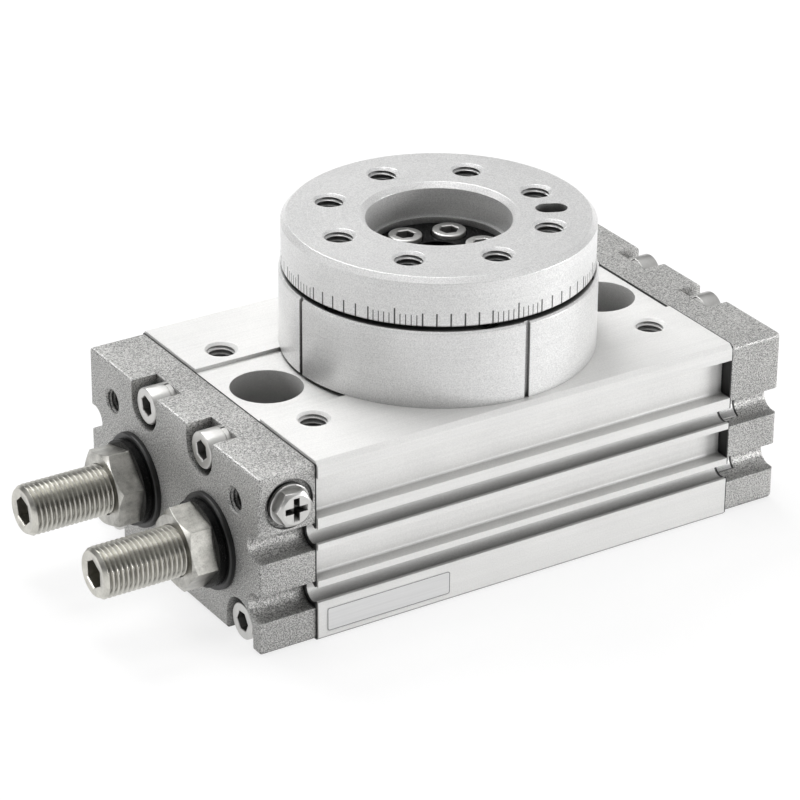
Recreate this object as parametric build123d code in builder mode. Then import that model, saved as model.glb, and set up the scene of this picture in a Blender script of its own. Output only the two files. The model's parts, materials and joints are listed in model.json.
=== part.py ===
"""Double-rack pneumatic rotary table, 190 degrees, table diameter 60 mm.

Millimetres. +Z is up, X runs along the body with the adjusting bolts at -X, and the
origin is the centre of the base on the table's axis of rotation. The model stands with
the table in the middle of its travel and both rack pistons centred under the pinion.
"""
from build123d import *
import math
import os

os.makedirs("parts", exist_ok=True)


# Driving dimensions

# Housing, measured over the covers and the extruded body between them
LENGTH = 117.0
BODY_LENGTH = 93.0
BODY_WIDTH = 65.0
BODY_HEIGHT = 37.0
COVER_WIDTH = 64.0
COVER_BASE = 0.3
COVER_TOP = 36.4
GASKET = 0.3

# Two cylinders side by side, with the pinion between them
BORE = 18.0
BORE_SPACING = 28.0
BORE_HEIGHT = 16.0
PISTON_LENGTH = 64.0
PISTON_FIT = 0.05

# Rack and pinion
MODULE = 1.0
TEETH = 15
PRESSURE_ANGLE = 20.0
RACK_ADDENDUM = 0.75 * MODULE
RACK_TEETH = 12
BACKLASH = 0.18
SWING = 95.0

# Table and the ring below it
TABLE_DIAMETER = 60.0
TABLE_BASE = 53.35
TABLE_TOP = 63.0
TABLE_TURN = -2.5
TABLE_BORE = 28.0
TABLE_BORE_DEPTH = 6.6
TABLE_PCD = 43.0
TABLE_HOLES = 8
RING_DIAMETER = 61.0
RING_TOP = 52.5
HOLLOW_SHAFT = 9.0

# Housing mounting holes
MOUNT_SPACING = 76.0
MOUNT_HOLE = 8.6
MOUNT_SEAT = 14.0
MOUNT_SEAT_LEVEL = 28.4
TOP_THREAD_SPACING = 34.0
BASE_CENTRING = 17.0
BASE_CENTRING_DEPTH = 1.5
BASE_PIN = 4.0
BASE_PIN_SPACING = 48.0

# Tapping drill for each metric thread that a user screws into
TAP_M5 = 4.2
TAP_M6 = 5.0

# Clearances
THREAD_FIT = 0.05
SEAT_FIT = 0.03
LOOSE_FIT = 0.2


# Places worked out from the driving dimensions

END = LENGTH / 2
BODY_END = BODY_LENGTH / 2
COVER_INNER = BODY_END + GASKET
COVER_HALF = COVER_WIDTH / 2
BODY_HALF = BODY_WIDTH / 2
CYLINDER_Y = BORE_SPACING / 2
PITCH_RADIUS = MODULE * TEETH / 2
STROKE = PITCH_RADIUS * math.radians(SWING)
TOP_RECESS_WIDTH = 24.0
TOP_RECESS_DEPTH = 0.75
SIDES = (("left", 1), ("right", -1))


def save(builder, name):
    builder.part.label = name
    export_step(builder.part, f"parts/{name}.step")


def cap_screw(diameter, head, height, length, socket):
    """Hexagon socket cap screw, seat at z = 0, head up, shank down."""
    with BuildPart() as screw:
        with BuildSketch(Plane.XZ) as half:
            with BuildLine():
                Polyline(
                    (0, -length),
                    (diameter / 2 - 0.4, -length),
                    (diameter / 2, -length + 0.4),
                    (diameter / 2, 0),
                    (head / 2, 0),
                    (head / 2, height - 0.3),
                    (head / 2 - 0.3, height),
                    (0, height),
                    close=True,
                )
            make_face()
        revolve(axis=Axis.Z)
        with BuildSketch(Plane.XY.offset(height)):
            RegularPolygon(socket / 2, 6, major_radius=False)
        extrude(amount=-height * 0.55, mode=Mode.SUBTRACT)
    return screw.part


def ring(outer, inner, base, top):
    """Plain ring about Z."""
    with BuildPart() as plain:
        with BuildSketch(Plane.XY.offset(base)):
            Circle(outer)
            Circle(inner, mode=Mode.SUBTRACT)
        extrude(amount=top - base)
    return plain.part


# Sensor grooves and side panels of the extrusion, the same on both long sides

GROOVE_LEVELS = (9.65, 21.8)
GROOVE_RADIUS = 2.05
GROOVE_INSET = 2.0
GROOVE_MOUTH = 3.2
PANELS = ((12.55, 18.9), (25.6, 33.7))
PANEL_DEPTH = 3.0
PANEL_ROUND = 0.5
TOP_BREAK = 0.9
BASE_BREAK = 0.6


def groove_notches(inset, half_width):
    """Cuts both sensor grooves into both edges of the sketch that is being made."""
    for _, side in SIDES:
        for level in GROOVE_LEVELS:
            with Locations((side * (half_width - inset), level)):
                Circle(GROOVE_RADIUS, mode=Mode.SUBTRACT)
            with Locations((side * half_width, level)):
                Rectangle(2 * inset, GROOVE_MOUTH, mode=Mode.SUBTRACT)


# Bearings: bore, outer radius, ball and level of each

UPPER_BORE = 12.5
UPPER_OUTER = 23.5
UPPER_BALL = 3.0
UPPER_BALLS = 12
UPPER_BASE = 35.0
UPPER_WIDTH = 12.0
UPPER_TOP = UPPER_BASE + UPPER_WIDTH
LOWER_BORE = 6.0
LOWER_OUTER = 10.5
LOWER_BALL = 1.2
LOWER_BALLS = 10
LOWER_BASE = 2.2
LOWER_WIDTH = 5.0
LOWER_TOP = LOWER_BASE + LOWER_WIDTH

# Pinion shaft, from the lower journal up
SHAFT_END = 1.8
GEAR_BASE = 9.5
GEAR_TOP = 22.5
NECK_RADIUS = 7.4
SHOULDER_BASE = 32.6
SHOULDER_RADIUS = 14.5
CHAMBER_RADIUS = 11.0
CHAMBER_TOP = 32.2
POCKET_RADIUS = 16.5

# Screws that hold the covers
COVER_SCREW = 4.0
COVER_SCREW_HEAD = 7.2
COVER_SCREW_TOP = (10.45, 32.9)
COVER_SCREW_BASE = (24.6, 3.85)
COVER_SCREW_SEAT = 53.1
COVER_SCREW_NOTCH = 4.8
COVER_SCREW_GRIP = 10.0
SPRING_WASHER = 0.95
SCREW_PLACES = [
    (side * y, z) for _, side in SIDES for y, z in (COVER_SCREW_TOP, COVER_SCREW_BASE)
]

# Air passages that run the length of the body, one on each side
PASSAGE = 2.5
PASSAGE_Y = 25.5
PASSAGE_Z = 26.5

# Screws that hold the bearing retainer
RETAINER_SCREW = 3.0
RETAINER_SCREW_HEAD = 5.5
RETAINER_SCREW_PCD = UPPER_OUTER + RING_DIAMETER / 2
RETAINER_SCREWS = 6
RETAINER_SCREW_TURN = 15.0
RETAINER_SCREW_LENGTH = 20.0
RETAINER_SCREW_RECESS = 3.3
RETAINER_SCREW_SEAT = RING_TOP - RETAINER_SCREW_RECESS


# Extruded body

with BuildPart() as body_block:
    with BuildSketch(Plane.YZ) as profile:
        with Locations((0, BODY_HEIGHT / 2)):
            Rectangle(BODY_WIDTH, BODY_HEIGHT)
        chamfer(profile.vertices().group_by(Axis.Y)[-1], TOP_BREAK)
        chamfer(profile.vertices().group_by(Axis.Y)[0], BASE_BREAK)
        for _, side in SIDES:
            for low, high in PANELS:
                with Locations((side * BODY_HALF, (low + high) / 2)):
                    Rectangle(2 * PANEL_DEPTH, high - low, mode=Mode.SUBTRACT)
        panel_plane = BODY_HALF - PANEL_DEPTH
        corners = [v for v in profile.vertices() if abs(abs(v.X) - panel_plane) < 0.01]
        fillet(corners, PANEL_ROUND)
        groove_notches(GROOVE_INSET, BODY_HALF)
        with Locations((0, BODY_HEIGHT)):
            Rectangle(TOP_RECESS_WIDTH, 2 * TOP_RECESS_DEPTH, mode=Mode.SUBTRACT)
    extrude(amount=BODY_END, both=True)
    with BuildSketch(Plane.YZ.offset(-BODY_END)):
        with Locations((CYLINDER_Y, BORE_HEIGHT), (-CYLINDER_Y, BORE_HEIGHT)):
            Circle(BORE / 2)
        with Locations((PASSAGE_Y, PASSAGE_Z), (-PASSAGE_Y, PASSAGE_Z)):
            Circle(PASSAGE / 2)
    extrude(amount=BODY_LENGTH, mode=Mode.SUBTRACT)
    # Pinion chamber, with a bearing seat below it and another above it
    with BuildSketch(Plane.XY.offset(LOWER_TOP)):
        Circle(CHAMBER_RADIUS)
    extrude(amount=CHAMBER_TOP - LOWER_TOP, mode=Mode.SUBTRACT)
    with BuildSketch(Plane.XY.offset(CHAMBER_TOP)):
        Circle(POCKET_RADIUS)
    extrude(amount=UPPER_BASE - CHAMBER_TOP, mode=Mode.SUBTRACT)
    with BuildSketch(Plane.XY.offset(UPPER_BASE)):
        Circle(UPPER_OUTER + SEAT_FIT)
    extrude(amount=BODY_HEIGHT - UPPER_BASE, mode=Mode.SUBTRACT)
    with BuildSketch(Plane.XY.offset(LOWER_BASE)):
        Circle(LOWER_OUTER + SEAT_FIT)
    extrude(amount=LOWER_WIDTH, mode=Mode.SUBTRACT)
    with BuildSketch(Plane.XY.offset(BASE_CENTRING_DEPTH)):
        Circle(LOWER_OUTER - 2.5)
    extrude(amount=LOWER_BASE - BASE_CENTRING_DEPTH, mode=Mode.SUBTRACT)
    with BuildSketch(Plane.XY):
        Circle(BASE_CENTRING / 2)
    extrude(amount=BASE_CENTRING_DEPTH, mode=Mode.SUBTRACT)
    # Mounting holes, their bolt head seats and the four top threads
    with BuildSketch(Plane.XY):
        with GridLocations(MOUNT_SPACING, 0, 2, 1):
            Circle(MOUNT_HOLE / 2)
    extrude(amount=BODY_HEIGHT, mode=Mode.SUBTRACT)
    with BuildSketch(Plane.XY.offset(MOUNT_SEAT_LEVEL)):
        with GridLocations(MOUNT_SPACING, 0, 2, 1):
            Circle(MOUNT_SEAT / 2)
    extrude(amount=BODY_HEIGHT - MOUNT_SEAT_LEVEL, mode=Mode.SUBTRACT)
    with Locations(Plane.XY.offset(BODY_HEIGHT)):
        with GridLocations(MOUNT_SPACING, TOP_THREAD_SPACING, 2, 2):
            CounterSinkHole(TAP_M6 / 2, 3.25, depth=11, counter_sink_angle=90)
    # Round positioning hole and slot in the base
    with BuildSketch(Plane.XY):
        with Locations((BASE_PIN_SPACING / 2, 0)):
            Circle(BASE_PIN / 2)
        with Locations((-BASE_PIN_SPACING / 2, 0)):
            SlotCenterToCenter(1.5, BASE_PIN)
    extrude(amount=4.5, mode=Mode.SUBTRACT)
    # Threads for the ring's screws and, in both end faces, the covers' screws
    with BuildSketch(Plane.XY.offset(RETAINER_SCREW_SEAT - RETAINER_SCREW_LENGTH - 0.8)):
        with PolarLocations(RETAINER_SCREW_PCD / 2, RETAINER_SCREWS, RETAINER_SCREW_TURN):
            Circle(RETAINER_SCREW / 2 + THREAD_FIT)
    extrude(amount=10, mode=Mode.SUBTRACT)
    for _, end in SIDES:
        with BuildSketch(Plane.YZ.offset(end * BODY_END)):
            with Locations(*SCREW_PLACES):
                Circle(COVER_SCREW / 2 + THREAD_FIT)
        extrude(amount=-end * (COVER_SCREW_GRIP + 1.5), mode=Mode.SUBTRACT)
save(body_block, "body_block")


# End covers, die cast

NEAR_COVER_ROUND = 0.6
FAR_COVER_ROUND = 1.0
CHANNEL_RADIUS = 2.8
CHANNEL_INSET = 1.6
PORT_Y = 23.2
PORT_Z = 28.6
SIDE_PORT_X = 52.2
SIDE_PORT_Z = 30.0
SIDE_PORT_SEAT = 10.0
SIDE_PORT_SEAT_DEPTH = 0.9
PLUG_THREAD = 5.0
GALLERY_Y = 19.0
GALLERY_WIDTH = 2.6
GALLERY_LOW = 22.5


def cover_outline():
    """Draws the cover's end view in the sketch that is being made."""
    with Locations((0, (COVER_BASE + COVER_TOP) / 2)):
        Rectangle(COVER_WIDTH, COVER_TOP - COVER_BASE)


def cover_blank(end, edge_round):
    """Cover with rounded edges, side channels and screw seats, on the end at +X or -X."""
    with BuildPart() as blank:
        with BuildSketch(Plane.YZ.offset(end * COVER_INNER)):
            cover_outline()
        extrude(amount=end * (END - COVER_INNER))
        outer_face = blank.faces().sort_by(Axis.X)[-1 if end > 0 else 0]
        long_edges = blank.edges().filter_by(Axis.X)
        fillet([*outer_face.edges(), *long_edges], edge_round)
        with BuildSketch(Plane.YZ.offset(end * COVER_INNER)):
            for _, side in SIDES:
                for level in GROOVE_LEVELS:
                    with Locations((side * (COVER_HALF - CHANNEL_INSET), level)):
                        Circle(CHANNEL_RADIUS)
                    with Locations((side * COVER_HALF, level)):
                        Rectangle(2 * CHANNEL_INSET, 2 * CHANNEL_RADIUS)
        extrude(amount=end * (END - COVER_INNER), mode=Mode.SUBTRACT)
        # Screw holes, and seats that are open to the top or to the base
        with BuildSketch(Plane.YZ.offset(end * COVER_INNER)):
            with Locations(*SCREW_PLACES):
                Circle(COVER_SCREW / 2 + LOOSE_FIT)
        extrude(amount=end * (END - COVER_INNER), mode=Mode.SUBTRACT)
        with BuildSketch(Plane.YZ.offset(end * COVER_SCREW_SEAT)):
            for y, z in SCREW_PLACES:
                out = 1 if z > BODY_HEIGHT / 2 else -1
                with Locations((y, z)):
                    Circle(COVER_SCREW_NOTCH)
                with Locations((y, z + out * COVER_SCREW_NOTCH)):
                    Rectangle(2 * COVER_SCREW_NOTCH, 2 * COVER_SCREW_NOTCH)
        extrude(amount=end * (END - COVER_SCREW_SEAT), mode=Mode.SUBTRACT)
    return blank.part


BOLT_THREAD = 10.0

with BuildPart() as near_cover:
    add(cover_blank(-1, NEAR_COVER_ROUND))
    # Threaded holes of the adjusting bolts, on the cylinders' axes
    with BuildSketch(Plane.YZ.offset(-END)):
        with Locations((CYLINDER_Y, BORE_HEIGHT), (-CYLINDER_Y, BORE_HEIGHT)):
            Circle(BOLT_THREAD / 2 + THREAD_FIT)
    extrude(amount=END - COVER_INNER, mode=Mode.SUBTRACT)
    for _, side in SIDES:
        # Air port in the end, side port, and the galleries from both of them to the
        # cylinder and to the air passage
        with Locations(Location((-END, side * PORT_Y, PORT_Z), (0, -90, 0))):
            CounterSinkHole(TAP_M5 / 2, 2.65, depth=6.5, counter_sink_angle=90)
        with BuildSketch(Plane.XZ.offset(-side * COVER_HALF)):
            with Locations((-SIDE_PORT_X, SIDE_PORT_Z)):
                Circle(PLUG_THREAD / 2 + THREAD_FIT)
        extrude(amount=side * (COVER_HALF - GALLERY_Y + GALLERY_WIDTH / 2), mode=Mode.SUBTRACT)
        with BuildSketch(Plane.XZ.offset(-side * COVER_HALF)):
            with Locations((-SIDE_PORT_X, SIDE_PORT_Z)):
                Circle(SIDE_PORT_SEAT / 2)
        extrude(amount=side * SIDE_PORT_SEAT_DEPTH, mode=Mode.SUBTRACT)
        with BuildSketch(Plane.YZ.offset(-COVER_INNER)):
            with Locations((side * GALLERY_Y, (GALLERY_LOW + SIDE_PORT_Z) / 2)):
                SlotCenterToCenter(SIDE_PORT_Z - GALLERY_LOW, GALLERY_WIDTH, rotation=90)
            with Locations((side * PASSAGE_Y, (PASSAGE_Z + SIDE_PORT_Z) / 2)):
                SlotCenterToCenter(SIDE_PORT_Z - PASSAGE_Z, PASSAGE, rotation=90)
        extrude(amount=-(SIDE_PORT_X - COVER_INNER - 1), mode=Mode.SUBTRACT)
save(near_cover, "near_cover")

# Far cover: a cap whose pocket holds the crossover plate and its seal. The left
# passage feeds the right cylinder through the cover's floor, and the right passage
# feeds the left cylinder through a channel in the plate.
PLATE_THICKNESS = 3.7
PLATE_SEAL = 0.6
PLATE_HALF = 29.4
PLATE_LOW = 6.9
PLATE_HIGH = 29.6
PLATE_ROUND = 2.0
PLATE_NOTCH = 2.6
POCKET_DEPTH = PLATE_THICKNESS + PLATE_SEAL
PLATE_MIDDLE = (PLATE_LOW + PLATE_HIGH) / 2
PLATE_TALL = PLATE_HIGH - PLATE_LOW
CROSS_WIDTH = 3.0
CROSS_DEPTH = 2.5
CROSS_RISE = PASSAGE_Z - BORE_HEIGHT
CROSS_RUN = PASSAGE_Y + CYLINDER_Y
CHANNEL_Z = PASSAGE_Z + 0.6
CHANNEL_WIDTH = 2.2
CHANNEL_DEPTH = 2.0
CHANNEL_END = BORE_HEIGHT + BORE / 2 - 2

with BuildPart() as far_cover:
    add(cover_blank(1, FAR_COVER_ROUND))
    with BuildSketch(Plane.YZ.offset(COVER_INNER)):
        with Locations((0, PLATE_MIDDLE)):
            RectangleRounded(2 * PLATE_HALF, PLATE_TALL, PLATE_ROUND)
    extrude(amount=POCKET_DEPTH, mode=Mode.SUBTRACT)
    # Gallery in the pocket's floor, from the left passage to the right cylinder
    with BuildSketch(Plane.YZ.offset(COVER_INNER + POCKET_DEPTH)):
        with Locations(((PASSAGE_Y - CYLINDER_Y) / 2, (PASSAGE_Z + BORE_HEIGHT) / 2)):
            SlotCenterToCenter(
                math.hypot(CROSS_RUN, CROSS_RISE),
                CROSS_WIDTH,
                rotation=math.degrees(math.atan2(CROSS_RISE, CROSS_RUN)),
            )
    extrude(amount=CROSS_DEPTH, mode=Mode.SUBTRACT)
save(far_cover, "far_cover")


def plate_face(notch, grow):
    """Outline of the plate or its seal, with the side channels and air holes."""
    with Locations((0, PLATE_MIDDLE)):
        RectangleRounded(2 * (PLATE_HALF - grow), PLATE_TALL - 2 * grow, PLATE_ROUND)
    for _, side in SIDES:
        for level in GROOVE_LEVELS:
            with Locations((side * (COVER_HALF - CHANNEL_INSET), level)):
                Circle(notch, mode=Mode.SUBTRACT)
    with Locations((PASSAGE_Y, PASSAGE_Z), (-CYLINDER_Y, BORE_HEIGHT)):
        Circle(PASSAGE / 2, mode=Mode.SUBTRACT)


with BuildPart() as crossover_plate:
    with BuildSketch(Plane.YZ.offset(COVER_INNER)):
        plate_face(PLATE_NOTCH, 0.05)
    extrude(amount=PLATE_THICKNESS)
    # Channel over the right cylinder, then down into the left one
    with BuildSketch(Plane.YZ.offset(COVER_INNER)):
        with Locations(((CYLINDER_Y - PASSAGE_Y) / 2, CHANNEL_Z)):
            SlotCenterToCenter(CROSS_RUN, CHANNEL_WIDTH)
        with Locations((CYLINDER_Y, (CHANNEL_Z + CHANNEL_END) / 2)):
            SlotCenterToCenter(CHANNEL_Z - CHANNEL_END, CHANNEL_WIDTH, rotation=90)
    extrude(amount=CHANNEL_DEPTH, mode=Mode.SUBTRACT)
save(crossover_plate, "crossover_plate")

with BuildPart() as plate_seal:
    with BuildSketch(Plane.YZ.offset(COVER_INNER + PLATE_THICKNESS)):
        plate_face(CHANNEL_RADIUS, 0.15)
    extrude(amount=PLATE_SEAL)
save(plate_seal, "plate_seal")

# Gaskets between the covers and the body, with the extrusion's own groove shape
with BuildPart() as near_gasket:
    with BuildSketch(Plane.YZ.offset(-BODY_END)):
        cover_outline()
        groove_notches(COVER_HALF - BODY_HALF + GROOVE_INSET, COVER_HALF)
        with Locations((CYLINDER_Y, BORE_HEIGHT), (-CYLINDER_Y, BORE_HEIGHT)):
            Circle(BORE / 2, mode=Mode.SUBTRACT)
        with Locations(*SCREW_PLACES):
            Circle(COVER_SCREW / 2 + LOOSE_FIT, mode=Mode.SUBTRACT)
        with Locations((PASSAGE_Y, PASSAGE_Z), (-PASSAGE_Y, PASSAGE_Z)):
            Circle(PASSAGE / 2, mode=Mode.SUBTRACT)
    extrude(amount=-GASKET)
save(near_gasket, "near_gasket")

with BuildPart() as far_gasket:
    mirror(near_gasket.part, about=Plane.YZ)
save(far_gasket, "far_gasket")


# Cover screws with spring washers

screw_length = COVER_SCREW_SEAT + SPRING_WASHER - BODY_END + COVER_SCREW_GRIP
cover_screw = cap_screw(COVER_SCREW, COVER_SCREW_HEAD, COVER_SCREW, screw_length, 3.0)

with BuildPart() as spring_washer:
    with BuildSketch():
        Circle(COVER_SCREW_HEAD / 2)
        Circle(COVER_SCREW / 2 + LOOSE_FIT / 2, mode=Mode.SUBTRACT)
        with Locations((COVER_SCREW_HEAD / 2, 0)):
            Rectangle(COVER_SCREW_HEAD, 0.6, rotation=20, mode=Mode.SUBTRACT)
    extrude(amount=SPRING_WASHER)

with BuildPart() as near_cover_screws:
    for y, z in SCREW_PLACES:
        with Locations(Location((-COVER_SCREW_SEAT - SPRING_WASHER, y, z), (0, -90, 0))):
            add(cover_screw)
save(near_cover_screws, "near_cover_screws")

with BuildPart() as near_spring_washers:
    for y, z in SCREW_PLACES:
        with Locations(Location((-COVER_SCREW_SEAT, y, z), (0, -90, 0))):
            add(spring_washer.part)
save(near_spring_washers, "near_spring_washers")

with BuildPart() as far_cover_screws:
    mirror(near_cover_screws.part, about=Plane.YZ)
save(far_cover_screws, "far_cover_screws")

with BuildPart() as far_spring_washers:
    mirror(near_spring_washers.part, about=Plane.YZ)
save(far_spring_washers, "far_spring_washers")


# Plugs that close the side ports: hexagon head with a cross recess

PLUG_HEX = 6.6
PLUG_HEAD = 3.0
PLUG_FACE = 6.9
PLUG_CROSS = 4.8
PLUG_CROSS_WIDTH = 1.15
PLUG_WASHER = 0.6
PLUG_LENGTH = 5.5
PLUG_GASKET_RADIUS = 4.1

with BuildPart() as plug:
    with BuildSketch(Plane.XY.offset(-PLUG_LENGTH)):
        Circle(PLUG_THREAD / 2)
    extrude(amount=PLUG_LENGTH + 0.1)
    with BuildSketch():
        Circle(PLUG_HEX / 2 + 0.8)
    extrude(amount=0.7)
    with BuildSketch(Plane.XY.offset(0.7)):
        RegularPolygon(PLUG_HEX / 2, 6, major_radius=False)
    extrude(amount=PLUG_HEAD - 0.7)
    # Chamfer that leaves a round top face
    with BuildSketch(Plane.XZ):
        with BuildLine():
            Polyline(
                (PLUG_FACE / 2, PLUG_HEAD),
                (PLUG_FACE / 2 + 1.2, PLUG_HEAD),
                (PLUG_FACE / 2 + 1.2, PLUG_HEAD - 1.2),
                close=True,
            )
        make_face()
    revolve(axis=Axis.Z, mode=Mode.SUBTRACT)
    with BuildSketch(Plane.XY.offset(PLUG_HEAD)):
        Rectangle(PLUG_CROSS, PLUG_CROSS_WIDTH)
        Rectangle(PLUG_CROSS_WIDTH, PLUG_CROSS)
    extrude(amount=-1.6, taper=12, mode=Mode.SUBTRACT)

side_port_floor = COVER_HALF - SIDE_PORT_SEAT_DEPTH
with BuildPart() as side_port_plugs:
    for _, side in SIDES:
        y = side * (side_port_floor + PLUG_WASHER)
        with Locations(Location((-SIDE_PORT_X, y, SIDE_PORT_Z), (-side * 90, 0, 0))):
            add(plug.part)
save(side_port_plugs, "side_port_plugs")

with BuildPart() as plug_gaskets:
    for _, side in SIDES:
        place = Location((-SIDE_PORT_X, side * side_port_floor, SIDE_PORT_Z), (-side * 90, 0, 0))
        with Locations(place):
            add(ring(PLUG_GASKET_RADIUS, PLUG_THREAD / 2 + THREAD_FIT, 0, PLUG_WASHER))
save(plug_gaskets, "plug_gaskets")


# Adjusting bolts with their pads, lock nuts and seals

BOLT_TIP = 82.9
BOLT_TRAVEL = 2.0
BOLT_SOCKET = 5.0
PAD_RADIUS = 3.0
PAD_DEPTH = 3.0
PAD_PROUD = 1.5
PAD_END = PISTON_LENGTH / 2 + STROKE + BOLT_TRAVEL + 0.4
BOLT_END = PAD_END + PAD_PROUD
NUT_HEX = 14.0
NUT_THICKNESS = 5.0
SEAL_FLANGE = 1.1
SEAL_FLANGE_RADIUS = 9.4
SEAL_COLLAR = 1.6
SEAL_COLLAR_RADIUS = 8.4

for name, side in SIDES:
    axis = Axis((0, side * CYLINDER_Y, BORE_HEIGHT), (1, 0, 0))
    middle = Plane.XY.offset(BORE_HEIGHT)
    with BuildPart() as bolt:
        with BuildSketch(middle):
            with BuildLine():
                y = side * CYLINDER_Y
                edge = y + side * BOLT_THREAD / 2
                Polyline(
                    (-BOLT_TIP, y),
                    (-BOLT_TIP, edge - side * 0.65),
                    (-BOLT_TIP + 0.75, edge),
                    (-BOLT_END - 0.75, edge),
                    (-BOLT_END, edge - side * 0.75),
                    (-BOLT_END, y),
                    close=True,
                )
            make_face()
        revolve(axis=axis)
        with BuildSketch(Plane.YZ.offset(-BOLT_TIP)):
            with Locations((side * CYLINDER_Y, BORE_HEIGHT)):
                RegularPolygon(BOLT_SOCKET / 2, 6, major_radius=False, rotation=30)
        extrude(amount=5, mode=Mode.SUBTRACT)
        with BuildSketch(Plane.YZ.offset(-BOLT_END)):
            with Locations((side * CYLINDER_Y, BORE_HEIGHT)):
                Circle(PAD_RADIUS + SEAT_FIT)
        extrude(amount=-PAD_DEPTH, mode=Mode.SUBTRACT)
    save(bolt, f"adjusting_bolt_{name}")

    with BuildPart() as pad:
        with BuildSketch(Plane.YZ.offset(-PAD_END - PAD_PROUD - PAD_DEPTH)):
            with Locations((side * CYLINDER_Y, BORE_HEIGHT)):
                Circle(PAD_RADIUS)
        extrude(amount=PAD_DEPTH + PAD_PROUD)
        chamfer(pad.edges().group_by(Axis.X)[-1], 0.4)
    save(pad, f"cushion_pad_{name}")

with BuildPart() as nut:
    with BuildSketch():
        RegularPolygon(NUT_HEX / 2, 6, major_radius=False)
        Circle(BOLT_THREAD / 2 + THREAD_FIT, mode=Mode.SUBTRACT)
    extrude(amount=NUT_THICKNESS)
    with BuildSketch(Plane.XZ):
        with BuildLine():
            Polyline(
                (NUT_HEX / 2 - 0.1, NUT_THICKNESS),
                (NUT_HEX / 2 + 2, NUT_THICKNESS),
                (NUT_HEX / 2 + 2, NUT_THICKNESS - 1.2),
                close=True,
            )
        make_face()
    revolve(axis=Axis.Z, mode=Mode.SUBTRACT)

NUT_TURN = {"left": 44.5, "right": 17.5}
with BuildPart() as lock_nuts:
    for name, side in SIDES:
        seat = (-END - SEAL_FLANGE - SEAL_COLLAR, side * CYLINDER_Y, BORE_HEIGHT)
        with Locations(Location(seat, (0, -90, 0)) * Location((0, 0, 0), (0, 0, NUT_TURN[name]))):
            add(nut.part)
save(lock_nuts, "lock_nuts")

seal_bore = BOLT_THREAD / 2 + THREAD_FIT
with BuildPart() as seal_washers:
    for _, side in SIDES:
        with Locations(Location((-END, side * CYLINDER_Y, BORE_HEIGHT), (0, -90, 0))):
            add(ring(SEAL_FLANGE_RADIUS, seal_bore, 0, SEAL_FLANGE))
    fillet(seal_washers.edges().group_by(Axis.X)[0].filter_by(lambda e: e.radius > 9), 0.4)
save(seal_washers, "seal_washers")

with BuildPart() as seal_retainers:
    for _, side in SIDES:
        place = Location((-END - SEAL_FLANGE, side * CYLINDER_Y, BORE_HEIGHT), (0, -90, 0))
        with Locations(place):
            add(ring(SEAL_COLLAR_RADIUS, seal_bore, 0, SEAL_COLLAR))
save(seal_retainers, "seal_retainers")


# Rack pistons

HEAD_START = 20.5
WEAR_RING = (21.6, 24.0, 0.8)
MAGNET = (25.0, 27.4, 2.2)
PISTON_SEAL = (28.2, 30.2, 1.6)
PISTON_RADIUS = BORE / 2 - PISTON_FIT
RACK_WORKING = math.pi * MODULE * RACK_TEETH / 2
RACK_TIP = PITCH_RADIUS - RACK_ADDENDUM
RACK_ROOT = PITCH_RADIUS + 1.25 * MODULE


def band(low, high, outer, inner, side, end):
    """Ring round a piston's axis, between two distances from the piston's middle."""
    with BuildPart() as loop:
        with BuildSketch(Plane.YZ.offset(end * low)):
            with Locations((side * CYLINDER_Y, BORE_HEIGHT)):
                Circle(outer)
                Circle(inner, mode=Mode.SUBTRACT)
        extrude(amount=end * (high - low))
    return loop.part


def groove_band(low, high, depth, side, end):
    """Stock that is taken away for a ring groove."""
    return band(low, high, PISTON_RADIUS + 1, PISTON_RADIUS - depth, side, end)


def fitted_band(low, high, depth, side, end):
    """Ring that sits in such a groove and runs on the cylinder's wall."""
    outer = PISTON_RADIUS + PISTON_FIT / 2
    inner = PISTON_RADIUS - depth + SEAT_FIT
    return band(low + SEAT_FIT, high - SEAT_FIT, outer, inner, side, end)


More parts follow.
